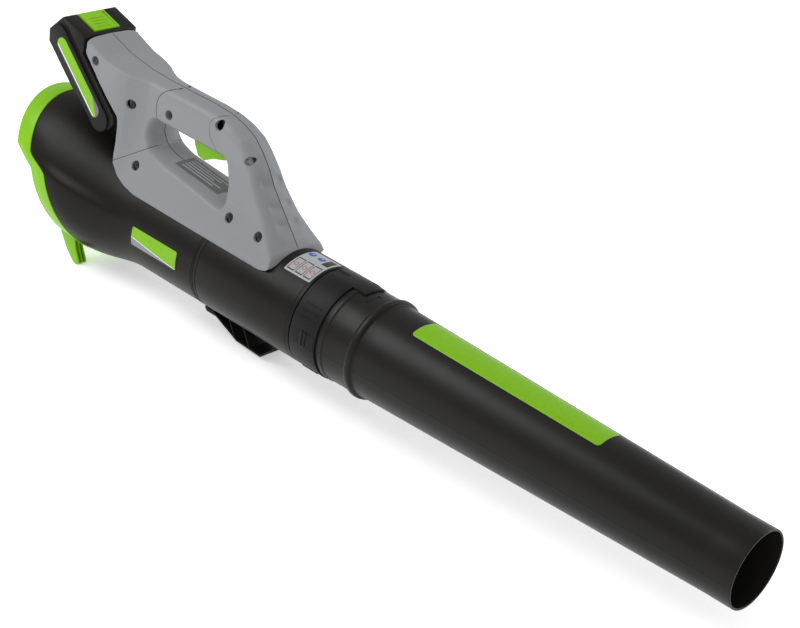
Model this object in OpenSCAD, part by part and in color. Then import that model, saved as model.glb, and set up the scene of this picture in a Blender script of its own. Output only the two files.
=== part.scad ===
// Cordless axial leaf blower.
// +X points out of the blow tube, +Z is up through the handle, and the
// origin is the centre of the tube's mouth. Everything behind the mouth
// has a negative X. The user's right side is -Y.

/* [Blow tube] */
// Outside diameter at the mouth
mouth_d = 75; // [60:1:95]
// Length of the plain cylinder at the mouth
mouth_straight = 30; // [15:1:60]
// Length from the mouth to the raised bead
tube_len = 417; // [300:1:600]
// Wall of the tube
tube_wall = 2.2; // [1.6:0.1:3]
// Length of the neck between the bead and the collar
neck_len = 37; // [20:1:60]
// Length of the locking collar
collar_len = 33; // [28:1:50]

/* [Duct housing] */
// Outside diameter of the straight part of the housing
duct_d = 100; // [92:1:120]
// Wall of the housing mouldings
duct_wall = 2.4; // [1.8:0.1:3.5]
// Length of the front housing, from the collar to the split ring
front_len = 131; // [110:1:180]
// Straight length of the rear housing before the bell
rear_straight = 90; // [80:1:120]
// Diameter of the bell at its rim
bell_d = 142; // [126:1:160]
// How far the bell's rim is centred above the duct's axis
bell_rise = 11; // [0:1:20]
// Distance from the end of the straight part to the rim, on the axis
bell_len = 123; // [105:1:160]
// How much further forward the lower half of the rim stands
rim_step = 21; // [0:1:30]
// Visible width of the intake ring
ring_w = 21; // [14:1:26]

/* [Fan and motor] */
// Number of fan blades
blades = 9; // [5:1:13]
// Number of guide vanes in the stator
vanes = 7; // [5:1:11]
// Gap between the blade tips and the duct
tip_gap = 1.4; // [0.8:0.1:3]
// Outside diameter of the fan's hub and of the motor pod
hub_d = 49; // [44:1:54]
// Diameter of the motor shaft
shaft_d = 5; // [4:0.5:8]
// Diameter of the motor's can
motor_d = 40; // [36:1:42]

/* [Handle] */
// Height of the grip's top line above the duct's axis
grip_top = 148; // [140:1:165]
// Half width of the grip
grip_half = 16.5; // [14:0.5:20]
// Half width of the battery dock
dock_half = 32.5; // [30:0.5:36]
// Half width of the skirt where it sits on the duct
skirt_half = 38; // [34:0.5:42]
// Wall of the handle shells
handle_wall = 2.6; // [2:0.1:3.2]
// Radius of the handle's screw wells
well_r = 4.2; // [3.2:0.1:4.6]

/* [Battery] */
// Length of the battery pack
pack_len = 122; // [116:1:140]
// Half width of the pack's case
pack_half = 33.5; // [33:0.5:38]
// Thickness of the pack below the dock
pack_deep = 38; // [34:1:46]
// Cell diameter
cell_d = 18.3; // [18:0.1:18.6]
// Cell length
cell_len = 65; // [64:0.5:66]

/* [Hidden] */

// Finish colours
black = [0.09, 0.085, 0.08];
soft_black = [0.05, 0.05, 0.05];
grey = [0.52, 0.53, 0.54];
lime = [0.52, 0.75, 0.12];
steel = [0.7, 0.7, 0.72];
copper = [0.72, 0.4, 0.2];

round_fn = 96;
small_fn = 32;
slip = 0.35;          // radial gap of the faces that slide past each other
big = 400;            // larger than any part, for half spaces

mouth_r = mouth_d / 2;
duct_r = duct_d / 2;
duct_in = duct_r - duct_wall;
bead_r = duct_r + 0.3;
neck_r = duct_r - 1.8;
taper_r = duct_r - 3;          // outside of the tube just in front of the bead
bead_x = -tube_len;
collar_x = bead_x - 4 - neck_len;
joint_x = collar_x - collar_len;
split_x = joint_x - 1 - front_len;
bell_x = split_x - rear_straight;
bell_r = bell_d / 2;
rim_x = bell_x - bell_len;
rim_lean = 0.5;                // the rim's plane leans back this much per unit of height
step_top = 38;
step_low = 22;
spigot_len = collar_len - 8;
spigot_r = duct_r - 2.9;
socket_r = spigot_r + slip;
collar_in = duct_r - 1.6;

hub_r = hub_d / 2;
motor_r = motor_d / 2;
shaft_r = shaft_d / 2;
fan_front = bell_x + 14;
fan_len = 28;
pod_rear = fan_front + 4;
pod_len = 78;
vane_len = 36;
pod_front = pod_rear + pod_len;

// Everything on the handle is placed from the joint plane
hx = joint_x;

// ---------- shared shapes ----------

// A solid of revolution about X. Profile points are [radius, x].
module lathe(profile) rotate([0, 90, 0]) rotate_extrude($fn = round_fn) polygon(profile);

// A rod or disc along X, from x0 to x1
module rod_x(r, x0, x1, fn = round_fn)
    translate([x0, 0, 0]) rotate([0, 90, 0]) cylinder(r = r, h = x1 - x0, $fn = fn);

// A ring along X
module ring_x(r_out, r_in, x0, x1) difference() {
    rod_x(r_out, x0, x1);
    rod_x(r_in, x0 - 1, x1 + 1);
}

// A rod across, along Y
module rod_y(r, x, z, y0, y1, fn = small_fn)
    translate([x, y0, z]) rotate([-90, 0, 0]) cylinder(r = r, h = y1 - y0, $fn = fn);

// The same thing on both sides of the middle
module both_sides() {
    children();
    mirror([0, 1, 0]) children();
}

// A side-view outline (x, z) given a width from y0 to y1
module side_slab(y0, y1) translate([0, y1, 0]) rotate([90, 0, 0]) linear_extrude(y1 - y0) children();

// A straight bead of wire with round ends, through each point in turn
module wire(points, r) union() {
    for (i = [0 : len(points) - 2]) {
        a = points[i];
        d = points[i + 1] - a;
        n = norm(d);
        translate(a) rotate([0, acos(d[2] / n), atan2(d[1], d[0])]) cylinder(r = r, h = n, $fn = 16);
    }
    for (p = points) translate(p) sphere(r = 1.04 * r, $fn = 16);
}

// ---------- the bell: circles that lean over until they lie in the rim's plane ----------

function smooth(t) = t * t * (3 - 2 * t);
// Where the stepped rim line lies at height z
function rim_at(z) = rim_x - rim_lean * z + rim_step * max(0, min(1, (step_top - z)
    / (step_top - step_low)));
function bell_point(t, a, skin) =
    let (s = smooth(t), r = duct_r - bell_lap + (bell_r - duct_r + bell_lap) * s - skin)
    [bell_x + t * (rim_at(bell_rise + (bell_r - skin) * sin(a))
        - bell_x), r * cos(a), bell_rise * s + r * sin(a)];
bell_steps = 9;
kink_low = asin((step_low - bell_rise) / bell_r);
kink_top = asin((step_top - bell_rise) / bell_r);
bell_stops = [-90, kink_low, kink_top, 90, 180 - kink_top, 180 - kink_low, 270];
bell_counts = [16, 3, 11, 11, 3, 16];
bell_angles = [for (i = [0 : 5]) for (j = [0 : bell_counts[i] - 1])
    bell_stops[i] + (bell_stops[i + 1] - bell_stops[i]) * j / bell_counts[i]];
bell_sides = len(bell_angles);
bell_lap = 0.2;                // how far the bell's skins sit inside the straight part's wall

// Closed wall: out along the outer skin, across the rim, back along the inner skin
module bell_wall(skin) {
    turns = concat([[-0.04, 0]], [for (i = [1 : bell_steps]) [i / bell_steps, 0]],
        [for (i = [bell_steps : -1 : 1]) [i / bell_steps, skin]], [[-0.04, skin]]);
    rows = len(turns);
    points = [for (p = turns) for (a = bell_angles) bell_point(p[0], a, p[1])];
    faces = [for (i = [0 : rows - 1]) for (j = [0 : bell_sides - 1])
        let (k = (j + 1) % bell_sides, a = i * bell_sides, b = ((i + 1) % rows) * bell_sides)
        for (f = [[a + j, b + k, b + j], [a + j, a + k, b + k]]) f];
    polyhedron(points = points, faces = faces, convexity = 6);
}

// The side view in front of the stepped rim line, moved back by d
module before_rim(d) side_slab(-big, big) polygon([
    [0, -big], [0, big], [rim_x - d - rim_lean * big, big], [rim_x - d - rim_lean * step_top, step_top],
    [rim_x - d + rim_step - rim_lean * step_low, step_low],
    [rim_x - d + rim_step + rim_lean * big, -big]]);

// ---------- blow tube ----------

module blow_tube() color(black) difference() {
    lathe([[mouth_r, 0], [mouth_r, -mouth_straight], [taper_r, bead_x + 3], [bead_r, bead_x],
        [bead_r, bead_x - 2],
        [neck_r, bead_x - 4], [neck_r, collar_x], [collar_in - 0.1, collar_x],
            [collar_in - 0.1, joint_x + 1],
        [socket_r, joint_x + 1], [socket_r, collar_x - 6], [socket_r - 3, collar_x - 2],
        [neck_r - tube_wall - 0.6, collar_x + 2], [taper_r - tube_wall, bead_x],
            [mouth_r - tube_wall, -mouth_straight],
        [mouth_r - tube_wall, 0]]);
    release_window(0.6);
}

module release_window(g) translate([collar_x - 21 - g, -duct_r - 5, -8 - g])
    cube([20 + 2 * g, 14, 15 + 2 * g]);

// Ring over the tube's rear end, with a tab reaching forward over the neck
module locking_collar() color(soft_black) difference() {
    union() {
        ring_x(duct_r, collar_in, joint_x + 1, collar_x);
        intersection() {
            ring_x(duct_r, neck_r, collar_x - 1, collar_x + 17);
            translate([collar_x - 1, -8, 0]) cube([18, 26, big]);
        }
    }
    release_window(0.3);
    translate([joint_x - 1, -5, duct_r - 0.8]) cube([18, 11, 4]);
}

// Curved pad with two raised ribs, and a tooth behind it that holds the spigot
module release_button() color(soft_black) intersection() {
    union() {
        ring_x(duct_r + 0.2, socket_r + 0.5, collar_x - 21, collar_x - 1);
        ring_x(duct_r - 1, spigot_r - 1.6, collar_x - 14, collar_x - 10);
        for (i = [0, 1]) ring_x(duct_r + 1.2, duct_r - 1, collar_x - 17.4 + 4 * i,
            collar_x - 15.6 + 4 * i);
    }
    translate([collar_x - 21, -duct_r - 3, -8]) cube([20, 12, 15]);
}

// Thin film on the top of the tube, following its taper
label_t = 0.3;
function tube_r(x) = mouth_r + (taper_r - mouth_r) * (-mouth_straight - x)
    / (tube_len - mouth_straight - 3);
module tube_label() color(lime) intersection() {
    lathe([[tube_r(-160) + label_t, -160], [tube_r(-375) + label_t, -375], [tube_r(-375) + 0.03, -375],
        [tube_r(-160) + 0.03, -160]]);
    translate([-376, -mouth_r * 0.45, 0]) cube([217, mouth_r * 0.9, big]);
}

module joint_seal() color("dimgray") lathe([[spigot_r + 0.15, joint_x + 9],
    [spigot_r + 0.25, joint_x + 10],
    [spigot_r + 0.15, joint_x + 11], [spigot_r - 1, joint_x + 11], [spigot_r - 1, joint_x + 9]]);

// ---------- duct housing ----------

module front_housing() color(black) difference() {
    lathe([[duct_r, joint_x - 0.6], [duct_r, split_x + 1.2], [duct_in, split_x + 1.2],
        [duct_in, joint_x - 14],
        [spigot_r - 2.2, joint_x - 6], [spigot_r - 2.2, joint_x + spigot_len],
            [spigot_r, joint_x + spigot_len],
        [spigot_r, joint_x + 11], [spigot_r - 1, joint_x + 11], [spigot_r - 1, joint_x + 9],
        [spigot_r, joint_x + 9], [spigot_r, joint_x - 0.6]]);
    translate([collar_x - 22, -duct_r - 1, -10]) cube([40, 9, 19]);
    scoop_port();
}

module scoop_port() for (i = [0 : 2]) translate([hx - 110 + 20 * i, -14, -duct_r - 4]) cube([13, 28, 9]);

module rear_housing() color(black) {
    difference() {
        ring_x(duct_r, duct_in, bell_x, split_x - 1.2);
        translate([lead_x, 0, 0]) cylinder(r = 6, h = big, $fn = small_fn);
    }
    bell_wall(duct_wall - 2 * bell_lap);
}

module split_seal() color("dimgray") ring_x(duct_r - 0.6, duct_in, split_x - 1.2, split_x + 1.2);

// Louvred cooling scoop under the front housing
scoop_half = 20;
module scoop_outline() polygon([[hx - 130, -duct_r + 8], [hx - 128, -duct_r - 1],
    [hx - 92, -duct_r - 15.5],
    [hx - 58, -duct_r - 17], [hx - 41, -duct_r - 2], [hx - 41, -duct_r + 8]]);
module vent_scoop() color(black) difference() {
    side_slab(-scoop_half, scoop_half) difference() {
        scoop_outline();
        difference() {
            offset(delta = -1.8) scoop_outline();
            for (i = [0, 1]) polygon([[hx - 94 + 20 * i, -duct_r - 16],
                [hx - 92.5 + 20 * i, -duct_r - 16],
                [hx - 108 + 20 * i, -duct_r + 9], [hx - 109.5 + 20 * i, -duct_r + 9]]);
        }
    }
    rod_x(duct_r + 0.02, hx - big / 2, hx);
    translate([split_x - 2, -7.4, -duct_r - 14]) cube([21, 14.8, 18]);
}

module housing_clip() color(soft_black) difference() {
    side_slab(-7, 7) difference() {
        polygon([[split_x - 20, -duct_r + 3], [split_x - 20, -duct_r - 10], [split_x - 17, -duct_r - 13],
            [split_x + 14, -duct_r - 13], [split_x + 17, -duct_r - 10], [split_x + 1, -duct_r + 3]]);
        polygon([[split_x - 15, -duct_r - 4], [split_x - 15, -duct_r - 9],
            [split_x + 9, -duct_r - 9], [split_x + 2, -duct_r - 4]]);
    }
    rod_x(duct_r + 0.02, split_x - 30, split_x + 30);
}

// ---------- intake ----------

ring_r = bell_r - 0.2;
ring_in = bell_r - 6.2;
sleeve_len = 5 + max(0, rim_step - ring_w);   // how far the ring's inner sleeve reaches into the bell
foot_y = 36;
foot_w = 10;
module intake_ring() color(lime) {
    difference() {
        intersection() {
            union() {
                translate([0, 0, bell_rise]) rod_x(ring_r, rim_x - 80, bell_x);
                both_sides() foot();
            }
            before_rim(ring_w + 16);
        }
        difference() {
            before_rim(0);
            translate([0, 0, bell_rise]) rod_x(ring_in + 2, rim_x - 80, bell_x);
        }
        before_rim(-sleeve_len);
        difference() {
            translate([rim_x - 90, -big / 2, -big / 2]) cube([big, big, big]);
            before_rim(ring_w);
            both_sides() foot();
        }
        translate([0, 0, bell_rise]) rod_x(ring_in, rim_x - 90, bell_x);
    }
}

// Hollow fin on each side, open to the front, with a rib down the middle
foot_x = rim_x + 14;
foot_z = -70;
module foot_outline() polygon([[foot_x - 4, foot_z + 34], [foot_x + 11, foot_z + 12],
    [foot_x + 21, foot_z + 2.5],
    [foot_x + 25, foot_z], [foot_x + 30, foot_z], [foot_x + 32, foot_z + 3],
        [foot_x + 25, foot_z + 17], [foot_x + 20, foot_z + 34]]);
module foot() difference() {
    side_slab(foot_y, foot_y + foot_w) foot_outline();
    for (i = [0, 1]) side_slab(foot_y + 1.4 + 4.3 * i, foot_y + 4.3 + 4.3 * i) translate([2.6, 2.6])
        foot_outline();
}

grille_r = ring_in - 0.05;
grille_t = 3.5;
module grille_pattern() {
    for (r = [12 : 10.4 : grille_r - 5]) difference() {
        circle(r = r + 1.1, $fn = round_fn);
        circle(r = r - 1.1, $fn = round_fn);
    }
    circle(r = 7, $fn = small_fn);
    difference() {
        circle(r = grille_r, $fn = round_fn);
        circle(r = grille_r - 2.4, $fn = round_fn);
    }
    for (i = [0 : 11]) rotate(30 * i) translate([5, -0.9]) square([grille_r - 6, 1.8]);
}
module intake_grille() color(soft_black) intersection() {
    translate([rim_x - 80, 0, bell_rise]) rotate([0, 90, 0]) linear_extrude(160) grille_pattern();
    side_slab(-big / 2, big / 2) polygon([for (p = [[0, 90], [0, -90], [grille_t, -90], [grille_t, 90]])
        [rim_x + sleeve_len - grille_t + p[0] - rim_lean * p[1], p[1]]]);
}

// ---------- fan, motor and stator ----------

lead_x = pod_rear + 30;
stator_r = duct_in - 0.05;
pod_in = hub_r - 2;
module stator() color(soft_black) difference() {
    union() {
        ring_x(hub_r, pod_in, pod_rear, pod_front);
        intersection() {
            ring_x(stator_r, pod_in + 0.6, pod_rear, pod_rear + vane_len);
            for (i = [0 : vanes - 1]) rotate([360 * (i + 0.5) / vanes, 0, 0])
                translate([pod_rear + vane_len / 2, 0, 0])
                rotate([0, 0, 16]) translate([-big / 2, -0.8, 0]) cube([big, 1.6, big]);
        }
    }
    translate([lead_x, 0, 0]) cylinder(r = 5, h = big, $fn = small_fn);
}

module tail_cone() color(soft_black) lathe([[0, pod_front + 0.02], [hub_r, pod_front + 0.02],
    [hub_r, pod_front + 3],
    [hub_r - 5, pod_front + 18], [hub_r - 15, pod_front + 36], [4, pod_front + 42], [0, pod_front + 43]]);

motor_rear = pod_rear + 4;
motor_front = pod_front - 6;
module motor_mounts() color("dimgray") for (x = [motor_rear + 4, motor_front - 10])
    ring_x(pod_in - 0.02, motor_r + 0.02, x, x + 5);

bearing_r = 6.5;
bearing_len = 5;
coil_rear = motor_rear + 14;
coil_front = motor_front - 14;
module motor_can() color(steel) difference() {
    rod_x(motor_r, motor_rear, motor_front);
    rod_x(motor_r - 2, motor_rear + 3 + bearing_len, motor_front - 3 - bearing_len);
    rod_x(bearing_r, motor_rear + 3, motor_front - 3);
    rod_x(shaft_r + 1.5, motor_rear - 1, motor_front + 1);
    translate([lead_x, 0, 0]) cylinder(r = 4.2, h = big, $fn = small_fn);
}
module motor_windings() color(copper) ring_x(motor_r - 2.02, 12, coil_rear, coil_front);
module bearings() color(steel) for (x = [motor_rear + 3, motor_front - 3 - bearing_len])
    ring_x(bearing_r - 0.02, shaft_r + 0.05, x, x + bearing_len);

module motor_shaft() color("silver") rod_x(shaft_r, fan_front - fan_len - 8, motor_front - 1);
module rotor_core() color("dimgray") ring_x(11.4, shaft_r + 0.01, coil_rear, coil_front);

module fan() color(soft_black) difference() {
    union() {
        lathe([[0, fan_front - fan_len - 2], [8, fan_front - fan_len - 2], [17, fan_front - fan_len + 1],
            [22, fan_front - fan_len + 6], [hub_r - 1, fan_front - fan_len + 14],
                [hub_r - 1, fan_front], [0, fan_front]]);
        intersection() {
            ring_x(duct_in - tip_gap, hub_r - 3, fan_front - fan_len + 5, fan_front - 1);
            for (i = [0 : blades - 1]) rotate([360 * i / blades, 0, 0])
                translate([fan_front - fan_len / 2 + 2, 0, 0])
                rotate([0, 0, 48]) translate([-big / 2, -0.9, 0]) cube([big, 1.8, big]);
        }
    }
    rod_x(shaft_r + 0.01, fan_front - big, fan_front + 1);
    difference() {
        rod_x(hub_r - 3.5, fan_front - fan_len + 16, fan_front + 1);
        rod_x(shaft_r + 4, fan_front - fan_len + 10, fan_front + 2);
    }
}
module fan_nut() color(steel) difference() {
    rod_x(5.2, fan_front - fan_len - 6, fan_front - fan_len - 2.02, 6);
    rod_x(shaft_r + 0.01, fan_front - big, fan_front + 1);
}

module motor_leads() color("firebrick") for (i = [-1 : 1])
    wire([[lead_x, 2.6 * i, motor_r - 1], [lead_x, 2.6 * i, board_z - 0.95]], 0.9);

// ---------- handle ----------

// Side view of the whole handle, from the joint plane
module handle_outline() polygon([[hx - 333, 149], [hx - 333, grip_top + 17], [hx - 302, grip_top + 6.5],
    [hx - 268, grip_top + 1.3], [hx - 237, grip_top], [hx - 175, grip_top + 0.3],
        [hx - 153, grip_top - 1.2],
    [hx - 136, grip_top - 5], [hx - 120, grip_top - 12], [hx - 108, grip_top - 22.5],
        [hx - 97, grip_top - 35.5],
    [hx - 87, grip_top - 51], [hx - 74, 82], [hx - 59, 65], [hx - 46, duct_r], [hx - 45, 40],
        [hx - 49, 34.5],
    [hx - 58, 32], [hx - 238, 33.5], [hx - 252, 38], [hx - 264, 45], [hx - 276, 54], [hx - 280, 62],
    [hx - 280, 92], [hx - 281, 100], [hx - 311, 127]]);

// The finger opening
module finger_gap() offset(r = 7, $fn = small_fn) polygon([[hx - 232, 101], [hx - 236, 93],
    [hx - 228, 86],
    [hx - 218, 83.5], [hx - 137, 73.5], [hx - 140, 86], [hx - 147, 101]]);

// Seen from above: wide at the dock, narrow along the grip, g smaller all round
module plan_outline(g) both_sides() polygon([[hx - 340, 0], [hx - 340, dock_half - g],
    [hx - 284, dock_half - g], [hx - 274, dock_half - 3.5 - g], [hx - 261, grip_half + 4.5 - g],
    [hx - 248, grip_half + 1 - g], [hx - 225, grip_half - g], [hx - 145, grip_half - g],
    [hx - 100, grip_half + 1.5 - g], [hx - 40, grip_half + 1.5 - g], [hx - 40, 0]]);

// Seen from the front: the skirt spreads down over the duct
module skirt_outline(g) for (side = [0, 1]) mirror([side, 0]) polygon([[0, 20], [skirt_half - 1 - g, 20],
    [skirt_half - g, 30], [skirt_half - g, 38], [skirt_half - 15 - g, 72], [skirt_half - 17 - g, 92],
    [skirt_half - 20.5 - g, 112], [skirt_half - 22 - g, 170], [0, 170]]);

module handle_form(g) intersection() {
    side_slab(-big / 2, big / 2) difference() {
        offset(delta = -g) handle_outline();
        offset(delta = g) finger_gap();
    }
    union() {
        translate([0, 0, 60]) linear_extrude(big) plan_outline(g);
        translate([hx - 285, 0, 0]) rotate([90, 0, 90]) linear_extrude(245) skirt_outline(g);
    }
}

// Screw wells on the right-hand shell
// Each is [x, z, depth of its floor from the middle, reach of its screw past the middle]
wells = [[hx - 316, 146, 29, -26.4], [hx - 266, 118, 9, 7], [hx - 220, 123, 9, 7], [hx - 152, 139, 9, 7],
    [hx - 109, 119, 9, 7], [hx - 248, 60, 9, 7], [hx - 114, 61, 9, 7], [hx - 73, 59, 9, 7]];
screw_r = 1.55;

// Clearance in the skirt for the duct and for the start of the bell
module duct_cut() {
    rod_x(duct_r + 0.05, bell_x, 0);
    translate([hx - 290, 0, 0]) rotate([0, 90, 0])
        cylinder(r1 = duct_r + 12, r2 = duct_r + 0.05, h = bell_x - hx + 290, $fn = round_fn);
}

module handle_shell(s) difference() {
    intersection() {
        handle_form(0);
        translate([hx - big, s > 0 ? 0.02 : -big - 0.02, -big / 2]) cube([big, big, big]);
    }
    difference() {
        handle_form(handle_wall);
        for (w = wells) rod_y(well_r + 2.2, w[0], w[1], -big / 2, w[3] < 0 ? -26 : big / 2);
        both_sides() rod_y(4, pivot_x, pivot_z, trigger_half + 0.6, big / 2);
    }
    for (w = wells) {
        rod_y(well_r, w[0], w[1], -big / 2, -w[2]);
        rod_y(screw_r + 0.05, w[0], w[1], -w[2] - 1, w[3] + 0.5);
    }
    rod_y(pin_r, pivot_x, pivot_z, -pin_half, pin_half);
    duct_cut();
    dock_space();
    trigger_slot();
    translate([lead_x, 0, 0]) cylinder(r = 6, h = board_z - 2, $fn = small_fn);
}
module handle_right() color(grey) handle_shell(-1);
module handle_left() color(grey) handle_shell(1);

module handle_screws() color(soft_black) for (w = wells) {
    rod_y(3, w[0], w[1], -w[2] - 2.4, -w[2]);
    rod_y(screw_r, w[0], w[1], -w[2] - 0.1, w[3]);
}

// ---------- trigger and switch ----------

pivot_x = hx - 141;
pivot_z = grip_top - 31;
trigger_half = 6;
pin_r = 1.5;
pin_half = 10;
plunger_x = hx - 184;
plunger_r = 2.2;
trigger_top = grip_top - 27;
switch_z = grip_top - 19;

module trigger_outline() polygon([[hx - 146, trigger_top], [hx - 191, trigger_top],
    [hx - 196, trigger_top - 8],
    [hx - 193, grip_top - 47], [hx - 187, grip_top - 57], [hx - 178, grip_top - 58.5],
        [hx - 166, grip_top - 52],
    [hx - 151, grip_top - 47.5], [hx - 143, grip_top - 44.5], [hx - 136.5, grip_top - 36],
        [hx - 135, pivot_z + 1],
    [pivot_x, pivot_z + 5]]);

module trigger_slot() side_slab(-trigger_half - 0.4, trigger_half + 0.4)
    polygon([[hx - 200, grip_top - 44],
    [hx - 145, grip_top - 47.5], [hx - 131, grip_top - 46], [hx - 131, grip_top - 24],
        [hx - 200, grip_top - 24]]);

module trigger() color(lime) difference() {
    side_slab(-trigger_half, trigger_half) trigger_outline();
    side_slab(-trigger_half + 1.6, trigger_half - 1.6) polygon([[hx - 150, trigger_top + 9],
        [hx - 177, trigger_top + 9],
        [hx - 177, grip_top - 41], [hx - 170, grip_top - 43], [hx - 150, grip_top - 40]]);
    rod_y(pin_r + 0.05, pivot_x, pivot_z, -9, 9);
    rod_y(4.2, pivot_x, pivot_z, 0.6, 9);
    translate([pivot_x + 1, 0.6, pivot_z]) cube([8, 3, 8]);
}
module trigger_pin() color(steel) rod_y(pin_r - 0.01, pivot_x, pivot_z, -pin_half + 0.1, pin_half - 0.1);

// Coils round the pin, with one leg up into the handle
module trigger_spring() color(steel) union() {
    for (i = [0 : 3]) translate([pivot_x, 1.6 + 1.05 * i, pivot_z]) rotate([90, 0, 0])
        rotate_extrude($fn = small_fn) translate([2.8, 0]) circle(r = 0.54, $fn = 16);
    translate([pivot_x + 2.8, 1.6, pivot_z]) rotate([0, 12, 0]) cylinder(r = 0.5, h = 11, $fn = 16);
}

module switch_body() color(soft_black) difference() {
    translate([hx - 198, -9, switch_z]) cube([30, 18, 13]);
    translate([plunger_x, 0, switch_z - 1]) cylinder(r = plunger_r + 0.1, h = 12, $fn = small_fn);
}
module switch_plunger() color(grey) translate([plunger_x, 0, trigger_top + 0.3])
    cylinder(r = plunger_r, h = switch_z - trigger_top + 3.5, $fn = small_fn);

// ---------- controller ----------

board_z = duct_r + 3;
board_half = 14;
module controller() color([0.1, 0.3, 0.16]) {
    translate([hx - 212, -board_half, board_z]) cube([62, 2 * board_half, 1.6]);
    for (i = [0 : 2]) translate([hx - 205 + 9 * i, -8, board_z + 1.6]) cube([6, 16, 4.4]);
    for (y = [-5, 5]) translate([hx - 166, y, board_z + 1.6]) cylinder(r = 4, h = 6, $fn = small_fn);
}

// ---------- battery dock: everything here is drawn along the pack's slide ----------

dock_x = hx - 312;
dock_z = 127;
pack_tilt = 42;                // degrees the slide leans from the horizontal
module in_pack() translate([dock_x, 0, dock_z]) rotate([0, 180 + pack_tilt, 0]) children();

rail_half = 22;
rail_deep = 9;
plate_half = 26;
blade_ys = [-15, -5, 5, 15];

module dock_space() in_pack() {
    translate([-43, -plate_half, -13]) cube([74.5, 2 * plate_half, 14]);
    translate([30, -rail_half - 1, -rail_deep - 1]) cube([30, 2 * rail_half + 2, rail_deep + 2]);
    translate([-32, -18.1, -21]) cube([24, 36.2, 9]);
}
module battery_dock() color(soft_black) in_pack() difference() {
    translate([-42.9, -plate_half + 0.1, -12.9]) cube([72, 2 * plate_half - 0.2, 12.5]);
    translate([-38.4, -rail_half - slip, -rail_deep - slip]) cube([80, 2 * (rail_half + slip), 20]);
    for (y = blade_ys) translate([-34.1, y - 0.45, -14]) cube([9.2, 0.9, 10]);
}
module terminals() color("goldenrod") in_pack() {
    translate([-31, -18, -20.5]) cube([22, 36, 7.5]);
    for (y = blade_ys) translate([-34, y - 0.4, -13.5]) cube([9, 0.8, 10]);
}
module supply_leads() color("black") for (y = [-5, 5])
    wire([[hx - 274, y, 114], [hx - 259, y, 90], [hx - 246, y, 69], [hx - 209, y, board_z + 2.9]], 1.1);

// ---------- labels ----------

module body_label() color(lime) intersection() {
    ring_x(duct_r + 0.35, duct_r + 0.03, hx - 220, hx - 156);
    translate([hx - 220, -duct_r - 1, -10]) cube([64, duct_r, 20]);
}
module safety_label() color("white") intersection() {
    ring_x(duct_r + 0.3, duct_r + 0.03, hx - 38, hx - 4);
    translate([hx - 38, -27, 0]) cube([34, 43, big]);
}
module rating_label() color("dimgray") side_slab(-9.5, 9.5) polygon([[hx - 205, 75.1], [hx - 150, 68.3],
    [hx - 150, 68.6], [hx - 205, 75.4]]);

// ---------- battery pack, in the slide's frame: u along the slide, w away from the dock ----------

pack_top = pack_len - 48;
pack_split = 4;
lid_gap = 0.4;
module pack_outline() polygon([[pack_top - 33, -13.2], [pack_top - 1.5, 1.9], [pack_top, pack_deep - 9],
    [pack_top - 9, pack_deep], [12, pack_deep - 0.2], [-38, pack_deep - 8], [-47, 16], [-46.4, 4.6],
        [-40.2, lid_gap],
    [31, lid_gap], [30.8, -2]]);
module pack_slab(half) rotate([90, 0, 0]) translate([0, 0, -half]) linear_extrude(2 * half) children();

pad_r = 12.5;
cell_w = 19.4;
cell_pitch = cell_d + 0.35;
module stadium(r, y0, y1) {
    for (u = [-33, pack_top - 14]) translate([u, y0, cell_w]) rotate([-90, 0, 0])
        cylinder(r = r, h = y1 - y0, $fn = round_fn);
    translate([-33, y0, cell_w - r]) cube([pack_top + 19, y1 - y0, 2 * r]);
}
pad_half = pack_half + 2.4;
cell_half = cell_len / 2;

module pack_case() color(soft_black) in_pack() difference() {
    union() {
        pack_slab(pack_half) intersection() {
            pack_outline();
            translate([-60, pack_split]) square([160, 60]);
        }
        stadium(pad_r, -pad_half, pad_half);
    }
    pack_slab(pack_half - 2) intersection() {
        offset(delta = -2) pack_outline();
        translate([-60, -20]) square([160, 80]);
    }
    stadium(cell_d / 2 + 0.4, -cell_half - 0.7, cell_half + 0.7);
}

// Latch button's own frame, on the sloping top of the head
module on_head() translate([pack_top - 17.2, 0, -5.8]) rotate([0, -25.6, 0]) children();
latch_half = 16;
latch_long = 12;
latch_far = 16.4;
module pack_cover() color(black) in_pack() difference() {
    union() {
        pack_slab(pack_half) intersection() {
            pack_outline();
            translate([-60, -20]) square([160, 20 + pack_split]);
        }
        translate([-36, -rail_half, -rail_deep]) cube([64, 2 * rail_half, rail_deep + lid_gap + 0.4]);
    }
    on_head() translate([-latch_long - slip, -latch_half - slip, -5])
        cube([40, 2 * (latch_half + slip), 13]);
    for (y = blade_ys) translate([-37, y - 1, -rail_deep - 1]) cube([14, 2, 7.5]);
}
module latch_button() color(lime) in_pack() on_head() difference() {
    union() {
        translate([-latch_long, -latch_half, -0.8]) cube([latch_long + latch_far, 2 * latch_half, 5.3]);
        for (i = [-1.5 : 1 : 1.5]) translate([4.4 * i - 0.6, -9, -1.3]) cube([1.2, 18, 1]);
    }
    translate([-latch_long + 2, latch_half - 4.5, -2]) cube([latch_long + latch_far - 5, 3, 2.5]);
    for (y = [-9, 9]) translate([-5, y, 1.5]) cylinder(r = 3.2, h = 9, $fn = small_fn);
}
module latch_springs() color(steel) in_pack() on_head() for (y = [-9, 9]) for (i = [0 : 3])
    translate([-5, y, 5.2 + 0.75 * i]) rotate_extrude($fn = small_fn) translate([2.3, 0])
        circle(r = 0.42, $fn = 16);
module pack_cells() color("steelblue") in_pack() for (i = [0 : 5])
    translate([-33 + cell_pitch * i, 0, cell_w]) rotate([90, 0, 0])
    cylinder(r = cell_d / 2, h = cell_len, center = true, $fn = round_fn);
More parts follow.
